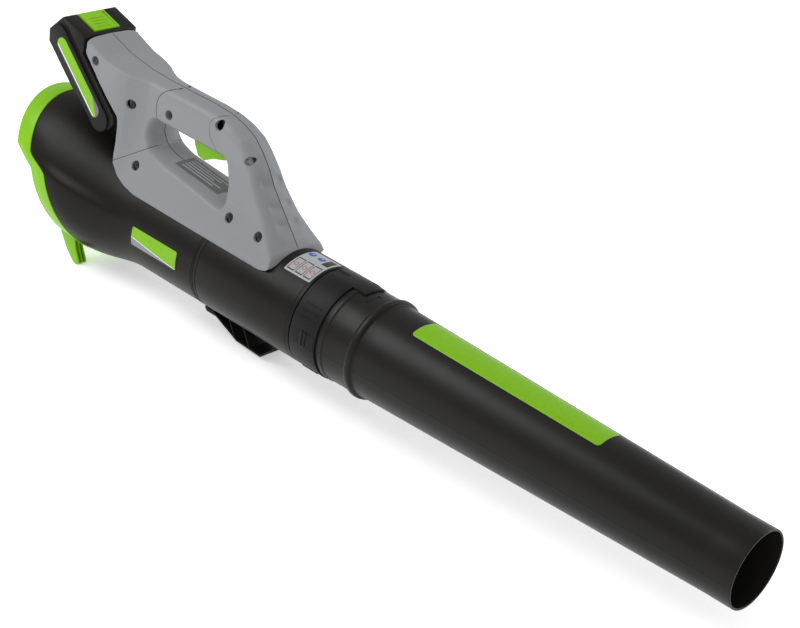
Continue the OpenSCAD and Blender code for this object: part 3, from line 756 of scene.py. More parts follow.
@dataclass
class BlowTube:
    """The tapered tube, its collar and release button, and the film on top."""

    duct: Duct
    straight: float = 0.030
    wall: float = 0.0022
    taper_r: float = 0.047
    neck_r: float = 0.0482
    ridge: float = 0.00022
    ridge_angle: float = -7.0
    ridge_spread: float = 0.012

    def radius_at(self, x: np.ndarray) -> np.ndarray:
        """Outside radius of the tapered part: a straight line from the mouth to the bead."""
        d = self.duct
        along = np.clip((-self.straight - x) / (-d.bead_x - self.straight - 0.003), 0, 1)
        return d.mouth_r + (self.taper_r - d.mouth_r) * along

    def shell(self) -> None:
        """The tube: its profile turned about X, with a fine mould ridge along each side."""
        d = self.duct
        outer = [(0.0, d.mouth_r - 0.0004), (-0.0006, d.mouth_r), (-self.straight, d.mouth_r),
                 (d.bead_x + 0.004, self.taper_r), (d.bead_x + 0.0028, d.radius - 0.0002),
                 (d.bead_x + 0.0012, d.radius + 0.0003),
                 (d.bead_x - 0.0016, d.radius + 0.0003), (d.bead_x - 0.0036, d.radius - 0.0009),
                 (d.bead_x - 0.0042, self.neck_r), (d.collar_x + 0.0085, self.neck_r),
                 (d.collar_x + 0.0080, self.neck_r + 0.0009), (d.collar_x + 0.0035, self.neck_r + 0.0009),
                 (d.collar_x + 0.0030, self.neck_r), (d.collar_x, self.neck_r),
                 (d.joint_x + 0.001, self.neck_r)]
        inner = [(d.joint_x + 0.001, SOCKET_R), (d.collar_x - 0.006, SOCKET_R),
                 (d.collar_x + 0.002, self.neck_r - self.wall - 0.0006),
                 (d.bead_x, self.taper_r - self.wall), (-self.straight, d.mouth_r - self.wall),
                 (-0.0006, d.mouth_r - self.wall), (0.0, d.mouth_r - self.wall + 0.0005)]
        profile = rounded(outer + inner, 0.0005, 4)
        dense = []
        for start, end in zip(profile, np.roll(profile, -1, 0)):
            steps = max(1, int(abs(end[0] - start[0]) / 0.012))
            dense.append(start + (end - start) * np.linspace(0, 1, steps, endpoint=False)[:, None])
        profile = np.concatenate(dense)
        a = np.linspace(0, 2 * math.pi, 256, endpoint=False)[:, None]
        outside = profile[:, 1] > self.radius_at(profile[:, 0]) - 0.0008
        bump = self.ridge * (outside & (profile[:, 0] < -0.002) & (profile[:, 0] > d.collar_x))[None]
        side = np.radians(self.ridge_angle)
        near = sum(np.exp(-((np.angle(np.exp(1j * (a - line))) / self.ridge_spread) ** 2))
                   for line in (side, side + math.pi))
        r = profile[:, 1][None] + bump * near
        grid = np.stack([profile[:, 0][None] + 0 * a, -r * np.cos(a), r * np.sin(a)], -1)
        piece = oriented(surface("tube_shell", grid, True, True))
        dress(smooth(piece, 40), Finish.TUBE, "tube", "housing_black", "blow_tube")

    def collar(self) -> None:
        """The collar and its button, softened from the CAD, with raised grip bars round the collar."""
        dress(softened("locking_collar", 0.5), Finish.SOFT, "tube", "soft_black", "locking_collar")
        dress(softened("release_button", 0.35), Finish.SOFT, "release", "soft_black", "release_button")
        d = self.duct
        for number, angle in enumerate((22.0, 30.0, 38.0, 142.0, 150.0, 158.0, -52.0, 232.0)):
            bar = patch(f"collar_bar_{number}", (d.joint_x + 0.006, d.collar_x - 0.006),
                        (angle - 1.1, angle + 1.1),
                        lambda x: d.radius - 0.0001 + 0 * x, 0.0008, 0.0011)
            dress(smooth(bar), Finish.SOFT, "tube", "soft_black")

    def arrow(self) -> None:
        """A raised turning arrow on the neck: a strip whose half width follows its length."""
        d = self.duct
        s = np.concatenate([np.linspace(0, 0.62, 24), np.linspace(0.621, 1.0, 14)])[:, None]
        half = np.where(s < 0.62, 0.0016, 0.0058 * (1.0 - s) / 0.38 + 0.00005)
        v = np.linspace(-1, 1, 9)[None]
        middle = 0.5 * (d.bead_x - 0.004 + d.collar_x + 0.009)
        for number, start in enumerate((74.0, 262.0)):
            angle = np.radians(start + 27.0 * s) + 0 * v
            x = middle + half * v
            r = self.neck_r + 0.0006 * np.clip((1 - np.abs(v)) * 4, 0, 1) ** 0.5
            grid = np.stack([x, -r * np.cos(angle), r * np.sin(angle)], -1)
            piece = surface(f"neck_arrow_{number}", grid, outside=(middle, 0, 0))
            dress(smooth(piece, 60), Finish.TUBE, "tube", "housing_black")

    def film(self) -> None:
        """The green film along the top of the taper."""
        piece = patch("tube_film", (-0.375, -0.161), (67.5, 113.0), self.radius_at, FILM_THICK, 0.004)
        dress(smooth(piece, 60), Finish.TUBE_FILM, "tube", "label_green", "tube_label")

    def build(self) -> None:
        """Builds every piece of the tube."""
        self.shell()
        self.collar()
        self.arrow()
        self.film()


def patch(name: str, span: tuple, angles: tuple, radius: object, thick: float, corner: float) -> bpy.types.Object:
    """A thin film or bar lying on a round surface, with rounded corners and a rolled edge.

    The first parameter runs along X and the second round the axis. Near each end the strip
    narrows by a quarter circle, and its height falls to nothing at its edges.

    Args:
        name: the piece's name.
        span: lowest and highest X.
        angles: lowest and highest angle in degrees, from -Y towards +Z.
        radius: the surface's radius as a function of X.
        thick: the film's thickness.
        corner: radius of the corners.

    Returns:
        The new object, with a UV map.
    """
    low, high = min(span), max(span)
    edge = corner * (1 - np.cos(np.linspace(0, math.pi / 2, 8)))
    x = np.concatenate([low + edge, np.linspace(low + corner, high - corner, 60)[1:-1],
                        high - edge[::-1]])
    gap = np.clip(corner - np.minimum(x - low, high - x), 0, corner)
    cut = corner - np.sqrt(np.clip(corner ** 2 - gap ** 2, 0, None))
    mean = float(np.mean(radius(x)))
    v = np.concatenate([[-1, -0.995, -0.98], np.linspace(-0.95, 0.95, 33), [0.98, 0.995, 1]])
    half = 0.5 * math.radians(angles[1] - angles[0]) * mean
    width = (half - cut)[:, None] * v[None]
    angle = math.radians(0.5 * (angles[0] + angles[1])) + width / mean
    rim = np.minimum(np.minimum(x - low, high - x)[:, None], (half - cut)[:, None] - np.abs(width))
    r = radius(x)[:, None] + thick * ease(rim / min(0.0006, thick * 1.5) * 0.999 + 0.001)
    grid = np.stack([x[:, None] + 0 * angle, -r * np.cos(angle), r * np.sin(angle)], -1)
    uv = np.stack([(x[:, None] - low) / (high - low) + 0 * width, 0.5 + 0.5 * width / half], -1)
    return surface(name, grid, uv=uv, outside=(0.5 * (low + high), 0, 0))


@dataclass
class Housing:
    """The duct's two housings, the bell, the scoop and clip underneath and the films."""

    duct: Duct
    straight_unit: float = 0.125

    def front(self) -> None:
        """The front housing: its profile turned about X, with a bead at each end."""
        d = self.duct
        r, rin, seal_seat = d.radius, d.radius - d.wall, SPIGOT_R - 0.001
        profile = [(d.joint_x - 0.0006, r - 0.0003), (d.joint_x - 0.0045, r - 0.0003),
                   (d.joint_x - 0.0050, r), (d.split_x + 0.0042, r),
                   (d.split_x + 0.0036, r - 0.0006), (d.split_x + 0.0030, r), (d.split_x + 0.0008, r),
                   (d.split_x + 0.0008, rin),
                   (d.joint_x - 0.014, rin), (d.joint_x - 0.006, SPIGOT_BORE),
                   (d.joint_x + 0.025, SPIGOT_BORE),
                   (d.joint_x + 0.025, SPIGOT_R), (d.joint_x + 0.011, SPIGOT_R),
                   (d.joint_x + 0.011, seal_seat),
                   (d.joint_x + 0.009, seal_seat), (d.joint_x + 0.009, SPIGOT_R),
                   (d.joint_x - 0.0006, SPIGOT_R)]
        piece = turned("front_duct", rounded(profile, 0.0003, 4))
        dress(smooth(piece, 35), Finish.BODY, "housing", "housing_black", "front_housing")

    def rear(self) -> None:
        """The rear housing: a straight ring that swells into the leaning bell, with a rounded rim.

        Rows run out along the outer skin, round the rim and back along the inner skin.
        """
        d = self.duct
        # Below zero t counts straight_unit lengths of the plain ring, with a fine groove cut in it
        t = np.concatenate([[-0.712, -0.709, -0.70, -0.695, -0.69], np.linspace(-0.68, 0, 8)[:-1],
                            np.linspace(0, 1, 70)])
        groove = np.array([0.0, 0.0, 0.0, 0.0006, 0.0] + [0.0] * (len(t) - 5))
        lip = np.linspace(0, math.pi, 7)[1:-1]
        inner = t[::-1]
        steps = np.concatenate([t, np.ones(len(lip)), inner])
        depth = np.concatenate([groove, d.wall * 0.5 * (1 - np.cos(lip)), np.full(len(inner), d.wall)])
        a = np.linspace(0, 2 * math.pi, 240, endpoint=False)[None]
        straight = np.minimum(steps, 0.0)[:, None]
        grid = d.skin(np.maximum(steps, 0.0)[:, None] + 0 * a, a + 0 * straight, depth[:, None])
        grid[..., 0] += -straight * self.straight_unit
        grid[..., 0] -= np.concatenate([np.zeros(len(t)), 0.0008 * np.sin(lip), np.zeros(len(inner))])[:,
                None]
        piece = oriented(surface("intake_bell", grid, True, True))
        dress(smooth(piece, 40), Finish.BODY, "housing", "housing_black", "rear_housing")

    def fittings(self) -> None:
        """The scoop, the clip and the split seal."""
        dress(softened("vent_scoop", 0.7), Finish.BODY, "housing", "housing_black", "vent_scoop")
        dress(softened("housing_clip", 0.6), Finish.SOFT, "housing", "soft_black", "housing_clip")
        for node in ("split_seal", "joint_seal"):
            dress(softened(node, 0.2), Finish.RUBBER, "housing", "seal_rubber", node)

    def films(self) -> None:
        """The film on the right-hand side, in its own frame, and the pictogram film on top."""
        d = self.duct
        flat = lambda x: d.radius + 0 * x
        side = patch("body_film", (-0.7125, -0.6475), (-10.8, 12.0), lambda x: d.radius + 0.0002 + 0 * x,
                     FILM_THICK, 0.0022)
        dress(smooth(side, 60), Finish.BODY_FILM, "housing", "label_green", "body_label")
        frame_rim = patch("film_frame", (-0.7145, -0.6455), (-12.8, 14.0), flat, FILM_THICK, 0.0032)
        dress(smooth(frame_rim, 60), Finish.BODY, "housing", "housing_black")
        top = patch("safety_film", (-0.5285, -0.4945), (57.0, 108.0), flat, FILM_THICK, 0.0015)
        dress(smooth(top, 60), Finish.SAFETY_FILM, "housing", "label_white", "safety_label")

    def build(self) -> None:
        """Builds every piece of the housing."""
        self.front()
        self.rear()
        self.fittings()
        self.films()


@dataclass
class Intake:
    """The green ring with its two feet, and the grille inside it."""

    duct: Duct
    width: float = 0.0215
    proud: float = 0.0008

    def ring(self) -> None:
        """The ring and feet from the CAD, softened, under a smooth band swept round the stepped rim.

        The band's section is a rounded rectangle and its path is the bell's rim, carried back by
        the band's width.
        """
        d = self.duct
        dress(softened("intake_ring", 0.8, 3, 45), Finish.LIME, "housing", "lime_plastic", "intake_ring")
        section = rounded([(0.0008, 0.0), (-self.width * 0.55, -0.0002), (-self.width, -0.0026),
                           (-self.width - 0.0014, -0.0050),
                           (-self.width, -0.0064), (0.0008, -0.0064)], [0.0008, 0.006, 0.003, 0.002,
                                                                        0.002, 0.0008], 6)
        a = np.linspace(0, 2 * math.pi, 240, endpoint=False)[:, None]
        r = d.bell_r + self.proud + section[:, 1][None]
        z = d.bell_rise + d.bell_r * np.sin(a)
        x = d.rim_at(z) + section[:, 0][None] - 0.0006
        grid = np.stack([x, r * np.cos(a), d.bell_rise + r * np.sin(a)], -1)
        dress(smooth(oriented(surface("intake_band", grid, True, True)), 40), Finish.LIME, "housing",
              "lime_plastic")

    def build(self) -> None:
        """Builds the ring and dresses the grille."""
        self.ring()
        dress(softened("intake_grille", 0.35, 2, 45), Finish.SOFT, "housing", "soft_black",
              "intake_grille")


@dataclass
class Rotor:
    """The fan: a domed hub and twisted aerofoil blades."""

    duct: Duct
    blades: int = 9
    front: float = -0.699
    length: float = 0.028
    hub_r: float = 0.0235
    tip_gap: float = 0.0014

    def hub(self) -> None:
        """The hub's profile turned about X, hollow from the front."""
        f, r = self.front, self.hub_r
        profile = [(f - self.length - 0.002, 0.00255), (f - self.length - 0.002, 0.008),
                   (f - self.length + 0.001, 0.017),
                   (f - self.length + 0.006, 0.022), (f - self.length + 0.014, r), (f, r),
                   (f, r - 0.0025),
                   (f - 0.012, r - 0.0025), (f - 0.012, 0.0065), (f - 0.002, 0.0065),
                   (f - 0.002, 0.00255)]
        dress(smooth(turned("fan_hub", rounded(profile, 0.0012, 5), 128), 40), Finish.SOFT, "rotor",
              "soft_black", "fan")

    def blade(self, number: int) -> None:
        """One blade: an aerofoil section carried from the hub to the tip while it twists.

        The section's half thickness is a root less its own square along the chord; the chord's
        angle to the axis grows with the radius, and the leading edge sweeps back.

        Args:
            number: which blade.
        """
        span = np.linspace(0, 1, 15)[:, None]
        c = np.linspace(0, 2 * math.pi, 40, endpoint=False)[None]
        along = 0.5 * np.cos(c)
        thick = 0.5 * 0.0021 * np.sin(c) * (1.15 + 0.5 * np.cos(c)) * (1.1 - 0.35 * span)
        camber = 0.0016 * (1 - (2 * along) ** 2)
        root = self.hub_r - 0.001
        r = root + (self.duct.radius - self.duct.wall - self.tip_gap - root) * span
        pitch = np.radians(38 + 22 * span)
        chord = 0.0225 + 0.006 * span
        x = chord * along * np.cos(pitch) + (thick + camber) * np.sin(pitch)
        across = chord * along * np.sin(pitch) - (thick + camber) * np.cos(pitch) + 0.004 * span ** 2
        angle = 2 * math.pi * number / self.blades + across / r
        centre = self.front - 0.5 * self.length + 0.002
        grid = np.stack([np.clip(centre + x, self.front - self.length + 0.003, self.front - 0.001),
                         r * np.sin(angle), r * np.cos(angle)], -1)
        ends = [grid[:1].mean(1, keepdims=True) + 0 * grid[:1], grid,
                grid[-1:].mean(1, keepdims=True) + 0 * grid[-1:]]
        piece = surface(f"fan_blade_{number}", np.concatenate(ends), closed=True)
        work = bmesh.new()
        work.from_mesh(piece.data)
        bmesh.ops.remove_doubles(work, verts=work.verts, dist=1e-7)
        work.to_mesh(piece.data)
        work.free()
        dress(smooth(oriented(piece), 50), Finish.SOFT, "rotor", "soft_black")

    def build(self) -> None:
        """Builds the hub and blades and dresses the nut."""
        self.hub()
        for number in range(self.blades):
            self.blade(number)
        dress(softened("fan_nut", 0.3), Finish.STEEL, "rotor", "steel", "fan_nut")


# ---------------------------------------------------------------- handle

@dataclass
class Handle:
    """Two hollow shells with a finger gap, made as a loop of surface from the gap out to the edge."""

    duct: Duct
    side_steps: int = 640
    cross_steps: int = 44
    wall: float = 0.0024
    grip_half: float = 0.0165
    dock_half: float = 0.0325
    gap_round: float = 0.0065
    least_round: float = 0.0012
    boss_r: float = 0.0068
    dents: tuple = ((-0.0900, 0.1015), (-0.0747, 0.0828), (-0.0626, 0.0692))
    well_r: float = 0.0050
    screw_r: float = 0.0016
    floor: float = 0.009
    dock_floor: float = 0.029
    dock_side: float = 0.0262
    edge_blur: float = 1.6
    gap_blur: float = 3.2
    least: float = 0.00012
    centre: tuple = (-0.189, 0.090)
    wells: tuple = ((-0.316, 0.146), (-0.266, 0.118), (-0.220, 0.123), (-0.152, 0.139), (-0.109, 0.119),
                    (-0.248, 0.060), (-0.114, 0.061), (-0.073, 0.059))

    @cached_property
    def outer(self) -> np.ndarray:
        """Samples of the outer outline."""
        return self.traced(self.edge(), self.edge_blur)

    @cached_property
    def gap(self) -> np.ndarray:
        """Samples of the finger gap's outline."""
        return self.traced(self.opening(), self.gap_blur)

    def edge(self) -> np.ndarray:
        """The outer outline as (x, z, rounding) corners, with x from the joint plane, in millimetres."""
        return np.array([(-333, 149, 2), (-333, 165, 4), (-302, 154.5, 6), (-268, 149.3, 7),
                         (-237, 148, 10), (-205, 148.2, 11),
                         (-175, 148.3, 11), (-153, 146.8, 11), (-136, 143, 11), (-120, 136, 11),
                         (-108, 125.5, 11),
                         (-97, 112.5, 10), (-87, 97, 10), (-74, 82, 10), (-59, 65, 9), (-46, 50, 6),
                         (-45, 40, 2),
                         (-49, 34.5, 1.5), (-58, 32, 1.2), (-148, 32.6, 1.2), (-238, 33.5, 1.2),
                         (-252, 36.5, 1.5), (-267, 42, 2.5),
                         (-279, 51, 4), (-282, 61, 5), (-281.5, 92, 4), (-281, 100, 2), (-311, 127, 2)],
                         float)

    def opening(self) -> np.ndarray:
        """The finger gap's outline as (x, z, rounding) corners, from the joint plane, in millimetres."""
        return np.array([(-240, 108.5, 6), (-243.5, 94, 6), (-236, 82, 6), (-222, 76.6, 6),
                         (-176, 71.5, 6), (-129, 65.5, 6),
                         (-130.5, 86, 6), (-139, 108.5, 6), (-190, 108.5, 6)], float)

    def traced(self, corners: np.ndarray, blur: float) -> np.ndarray:
        """A closed outline sampled every half millimetre and blurred along its length.

        Args:
            corners: (x, z, rounding) in millimetres.
            blur: width of the Gaussian along the outline, in millimetres.

        Returns:
            (x, z, rounding) samples in metres.
        """
        loop = np.vstack([corners, corners[:1]])
        run = np.r_[0, np.cumsum(np.linalg.norm(np.diff(loop[:, :2], axis=0), axis=1))]
        at = np.arange(0, run[-1], 0.5)
        samples = np.stack([np.interp(at, run, loop[:, k]) for k in range(3)], -1)
        reach = np.fft.fftfreq(len(at), 0.5)
        kernel = np.exp(-2 * (math.pi * blur * reach) ** 2)[:, None]
        return np.fft.ifft(np.fft.fft(samples, axis=0) * kernel, axis=0).real * MM

    def half_width(self, x: np.ndarray, z: np.ndarray) -> np.ndarray:
        """Half width before the edges are rounded.

        The larger, blended smoothly, of a plan that is wide at the dock and narrow at the grip,
        and a skirt that spreads down over the duct.

        Args:
            x: position from the joint plane.
            z: height.

        Returns:
            The half width.
        """
        plan = np.interp(x, [-0.340, -0.294, -0.283, -0.272, -0.262, -0.250, -0.236, -0.225, -0.145,
                             -0.100, -0.040],
                         [self.dock_half, self.dock_half, 0.0316, 0.0290, 0.0240, 0.0188, 0.0169,
                          self.grip_half,
                          self.grip_half, 0.0175, 0.0175])
        skirt = np.interp(z, [0.020, 0.030, 0.040, 0.055, 0.072, 0.092, 0.112, 0.170],
                          [0.0374, 0.0382, 0.0376, 0.0310, 0.0240, 0.0205, 0.0175, 0.0150])
        skirt = skirt * ease((x + 0.300) / 0.020)
        return (plan ** 7 + skirt ** 7) ** (1 / 7)

    def rounding(self, distance: np.ndarray, radius: np.ndarray) -> np.ndarray:
        """Share of the half width left at a distance from an edge: a superellipse of power 2.3."""
        t = np.clip(distance / radius, 0, 1)
        return (1 - (1 - t) ** 2.3) ** (1 / 2.3)

    def nearest(self, x: np.ndarray, z: np.ndarray, outline: np.ndarray) -> tuple:
        """Distance from points to an outline, and the outline's rounding there.

        Args:
            x: positions, any shape.
            z: heights, the same shape.
            outline: (x, z, rounding) samples.

        Returns:
            (distance, rounding), each of the points' shape.
        """
        near = np.full(x.shape, 9.0)
        radius = np.zeros(x.shape)
        thin = outline[::2]
        for row in range(x.shape[1]):
            gap = np.hypot(x[:, row, None] - thin[None, :, 0], z[:, row, None] - thin[None, :, 1])
            pick = gap.argmin(1)
            near[:, row] = gap[np.arange(len(pick)), pick]
            radius[:, row] = thin[pick, 2]
        return near, radius

    def sheet(self, inset: float) -> np.ndarray:
        """One skin of the right-hand shell as a grid round the finger gap.

        The first parameter goes round the outer outline and the second runs out along a ray from
        the gap's edge to the outer edge. The half width is rounded off towards both edges, three
        Gaussian hollows are pressed into the front leg beside the parting line, and whatever would
        lie inside the duct is lifted on to it.

        Args:
            inset: how far inside the outer skin.

        Returns:
            Points, shape (side_steps, cross_steps, 3).
        """
        outer, gap = self.outer, self.gap
        cx, cz = self.centre
        pick = np.linspace(0, len(outer), self.side_steps, endpoint=False).astype(int)
        ray = np.arctan2(outer[pick, 1] - cz, outer[pick, 0] - cx)
        far = np.hypot(outer[pick, 1] - cz, outer[pick, 0] - cx) - inset
        gap_angle = np.arctan2(gap[:, 1] - cz, gap[:, 0] - cx)
        order = np.argsort(gap_angle)
        near = np.interp(ray, gap_angle[order], np.hypot(gap[:, 1] - cz, gap[:, 0] - cx)[order],
                         period=2 * math.pi) + inset
        v = 0.5 - 0.5 * np.cos(np.linspace(0, math.pi, self.cross_steps))
        v = 0.72 * v + 0.28 * np.linspace(0, 1, self.cross_steps)
        reach = near[:, None] + (far - near)[:, None] * v[None]
        x, z = cx + reach * np.cos(ray)[:, None], cz + reach * np.sin(ray)[:, None]
        out, radius = self.nearest(x, z, outer)
        into, _ = self.nearest(x, z, gap)
        width = np.maximum(self.half_width(x, z) - inset, 0.001)
        left = self.rounding(out - inset,
                             np.maximum(radius, self.least_round)) * self.rounding(into - inset,
                                     self.gap_round)
        y = np.maximum(width * left, self.least)
        y[:, [0, -1]] = self.least
        for dx, dz in self.dents:
            spot = np.exp(-(((x - dx) ** 2 + (z - dz) ** 2) / 0.0050 ** 2))
            hollow = 0.0026 * spot * ease((y - 0.0020) / 0.0030) * ease((0.0155 - y) / 0.0040)
            x, z = x - hollow * np.cos(ray)[:, None], z - hollow * np.sin(ray)[:, None]
        x = x + self.duct.joint_x
        floor = self.duct.roof(x, y) - 0.0006 + (0.001 if inset else 0.0)
        return np.stack([x, -y, np.maximum(z, floor)], -1)

    def skin_y(self, x: np.ndarray, z: np.ndarray) -> np.ndarray:
        """Half width of the finished outer skin at points (x, z), with x from the joint plane."""
        column, height = x[:, None], z[:, None]
        out, radius = self.nearest(column, height, self.outer)
        into, _ = self.nearest(column, height, self.gap)
        left = self.rounding(out, np.maximum(radius, self.least_round)) * self.rounding(into,
                self.gap_round)
        return (self.half_width(column, height) * left)[:, 0]

    def rod(self, x: float, z: float, radius: float, low: float, high: float, sides: int = 40) -> tuple:
        """A rod across the handle as plain vertices and faces.

        Args:
            x: position from the joint plane.
            z: height.
            radius: its radius.
            low: lowest y.
            high: highest y.
            sides: number of sides.

        Returns:
            (points, faces).
        """
        a = np.linspace(0, 2 * math.pi, sides, endpoint=False)
        ring = np.stack([self.duct.joint_x + x + radius * np.cos(a), 0 * a, z + radius * np.sin(a)], -1)
        low_ring, high_ring = ring + [0, low, 0], ring + [0, high, 0]
        k = np.arange(sides)
        j = (k + 1) % sides
        walls = np.stack([k, j, j + sides, k + sides], -1).tolist()
        return np.vstack([low_ring, high_ring]), walls + [k[::-1].tolist(), (k + sides).tolist()]

    def block(self, low: tuple, high: tuple, place: Matrix) -> tuple:
        """A rectangular block as plain vertices and faces, put in place by a matrix."""
        corners = np.array([[(low, high)[i][0], (low, high)[j][1], (low, high)[k][2]]
                            for i in (0, 1) for j in (0, 1) for k in (0, 1)])
        turn = np.array(place)
        points = corners @ turn[:3, :3].T + turn[:3, 3]
        return points, [[0, 1, 3, 2], [4, 6, 7, 5], [0, 4, 5, 1], [2, 3, 7, 6], [0, 2, 6, 4],
                        [1, 5, 7, 3]]

    def tool(self, name: str, solids: list) -> bpy.types.Object:
        """Joins plain solids into one cutting or adding tool.

        Args:
            name: the tool's name.
            solids: (points, faces) of each solid.

        Returns:
            The new object, which the caller removes after use.
        """
        points, faces, base = [], [], 0
        for p, f in solids:
            points.append(p)
            faces += [[i + base for i in face] for face in f]
            base += len(p)
        mesh = bpy.data.meshes.new(name)
        mesh.from_pydata(np.vstack(points).tolist(), [], faces)
        work = bmesh.new()
        work.from_mesh(mesh)
        bmesh.ops.recalc_face_normals(work, faces=work.faces)
        work.to_mesh(mesh)
        work.free()
        piece = bpy.data.objects.new(name, mesh)
        bpy.context.scene.collection.objects.link(piece)
        return piece

    def shell(self, sign: int, name: str, node: str) -> None:
        """One shell: two skins joined at their edges, then bosses added and openings cut.

        Args:
            sign: 1 for the right-hand shell, -1 for the left.
            name: the piece's name.
            node: the CAD node it replaces.
        """
        rows = np.concatenate([self.sheet(0.0), self.sheet(self.wall)[:, ::-1]], axis=1)
        rows[..., 1] *= sign
        piece = oriented(surface(name, rows, True, True))
        right = sign > 0
        pack = PackFrame().matrix
        spaces = [self.block((-0.0432, -0.0261, -0.0130), (0.075, 0.0261, 0.006), pack),
                  self.block((-0.200, -0.0066, 0.1040), (-0.1315, 0.0066, 0.1300),
                             Matrix.Translation((self.duct.joint_x, 0, 0)))]
        cuts, adds = [self.rod(-0.141, 0.117, 0.00152, -0.0102, 0.0102, 24)], []
        for x, z in self.wells:
            edge = float(self.nearest(np.array([[x]]), np.array([[z]]), self.outer)[0][0, 0])
            boss, well = min(self.boss_r, edge - 0.0005), min(self.well_r, edge - 0.0010)
            turn = np.linspace(0, 2 * math.pi, 16, endpoint=False)
            deep = float(self.skin_y(x + boss * np.cos(turn), z + boss * np.sin(turn)).min())
            low, high = (-deep + 0.0012, -0.0002) if right else (0.0002, deep - 0.0012)
            over_dock = x < -0.300
            floor = -self.dock_floor if over_dock else -self.floor
            if right or not over_dock:
                adds.append(self.rod(x, z, boss, low, -self.dock_side if over_dock else high))
            if right:
                cuts.append(self.rod(x, z, well, -0.060, floor))
            cuts.append(self.rod(x, z, self.screw_r, floor - 0.0005, -0.0255 if over_dock else 0.0075,
                                 20))
        for how, tools in (("DIFFERENCE", spaces), ("UNION", adds), ("DIFFERENCE", cuts)):
            helper = self.tool(name + "_tool", tools)
            step = piece.modifiers.new(how.lower(), "BOOLEAN")
            step.operation = how
            step.solver = "EXACT"
            step.object = helper
            if how == "UNION":
                step.use_self = True
            settle(piece)
            bpy.data.objects.remove(helper, do_unlink=True)
        dress(smooth(piece, 30), Finish.GREY, "housing", "handle_grey", node)

    def line(self, name: str, corners: list, width: float = 0.0007, both: bool = True) -> None:
        """A fine joint line laid on the skin along a curve, as a shallow dark strip of painted shade.

        Args:
            name: the piece's name.
            corners: (x, z) in millimetres from the joint plane.
            width: the strip's width.
            both: True repeats it on the left-hand side.
        """
        p = rounded([(x * MM, z * MM) for x, z in corners], 0.006, 9, loop=False)
        outline = self.outer[:, :2]
        p = np.vstack([outline[np.hypot(*(outline - p[0]).T).argmin()], p])
        run = np.r_[0, np.cumsum(np.linalg.norm(np.diff(p, axis=0), axis=1))]
        at = np.r_[np.linspace(0, 0.004, 40), np.linspace(0.004, run[-1], 90)[1:]]
        x, z = np.interp(at, run, p[:, 0]), np.interp(at, run, p[:, 1])
        dx, dz = np.gradient(x), np.gradient(z)
        size = np.hypot(dx, dz)
        for sign in ((-1, 1) if both else (-1,)):
            rows = []
            for shift, lift in ((-0.5, 0.0), (-0.25, 0.00012), (0.25, 0.00012), (0.5, 0.0)):
                px, pz = x - dz / size * width * shift, z + dx / size * width * shift
                rows.append(np.stack([px + self.duct.joint_x,
                                      sign * (self.skin_y(px, pz) + lift - 0.00002), pz], -1))
            label = f"{name}_{'right' if sign < 0 else 'left'}"
            piece = surface(label, np.stack(rows, 1), outside=(x.mean() + self.duct.joint_x, 0, z.mean()))
            # painted shade: the strip takes the dark seam finish so the joint reads as a shaded groove
            dress(smooth(piece, 60), Finish.SEAM, "housing", "handle_grey")

    def seam(self) -> None:
        """The parting line: a thin dark strip of painted shade, standing just proud of both shells' edges.

        One strip follows the outer outline above the duct and one follows the finger gap, except
        across the trigger's slot. Each is a rectangle carried along the outline, with its long side
        along the ray from the centre.
        """
        section = np.array([(-0.00036, -0.0012), (0.00036, -0.0012), (0.00036, 0.0003),
                            (-0.00036, 0.0003)])
        outlines = (("parting_outer", self.outer[::3], 1.0), ("parting_gap", self.gap[::3], -1.0))
        cx, cz = self.centre
        for name, path, outward in outlines:
            size = np.hypot(path[:, 0] - cx, path[:, 1] - cz)
            ux, uz = (path[:, 0] - cx) / size, (path[:, 1] - cz) / size
            slot = (np.abs(path[:, 0] + 0.166) < 0.035) & (path[:, 1] > 0.100) & (path[:, 1] < 0.120)
            keep = (path[:, 1] > 0.052) & ~slot
            start = int(np.argmax(~keep)) if not keep.all() else 0
            order = np.roll(np.arange(len(size)), -start)
            order = order[keep[order]]
            lift = outward * (section[None, :, 1] - 0.00018)
            grid = np.stack([path[order, 0, None] + ux[order, None] * lift + self.duct.joint_x,
                             0 * lift + 0 * size[order, None] + section[None, :, 0],
                             path[order, 1, None] + uz[order, None] * lift], -1)
            piece = oriented(surface(name, grid, around=bool(keep.all()), closed=True))
            dress(smooth(piece, 60), Finish.SEAM, "housing", "handle_grey")

    def build(self) -> None:
        """Builds both shells and their joint lines, and dresses the screws."""
        self.shell(1, "handle_shell_right", "handle_right")
        self.shell(-1, "handle_shell_left", "handle_left")
        self.seam()
        self.line("grip_line_rear", [(-220, 148.0), (-224, 147.0), (-231, 143), (-237, 135),
                                     (-238.5, 125), (-236, 114), (-231, 108.6)])
        self.line("grip_line_front", [(-153, 146.4), (-157, 145.6), (-163, 141), (-164.5, 134),
                                      (-162, 124), (-152, 115), (-145, 108.8)], 0.0004)
        self.line("leg_line", [(-281, 52), (-258, 68), (-236, 83.5)], 0.0006)
        dress(softened("handle_screws", 0.3, 2), Finish.SCREW, "housing", "screw_black", "handle_screws")
        rating = self.rating()
        dress(smooth(rating, 60), Finish.RATING_FILM, "housing", "label_dark", "rating_label")

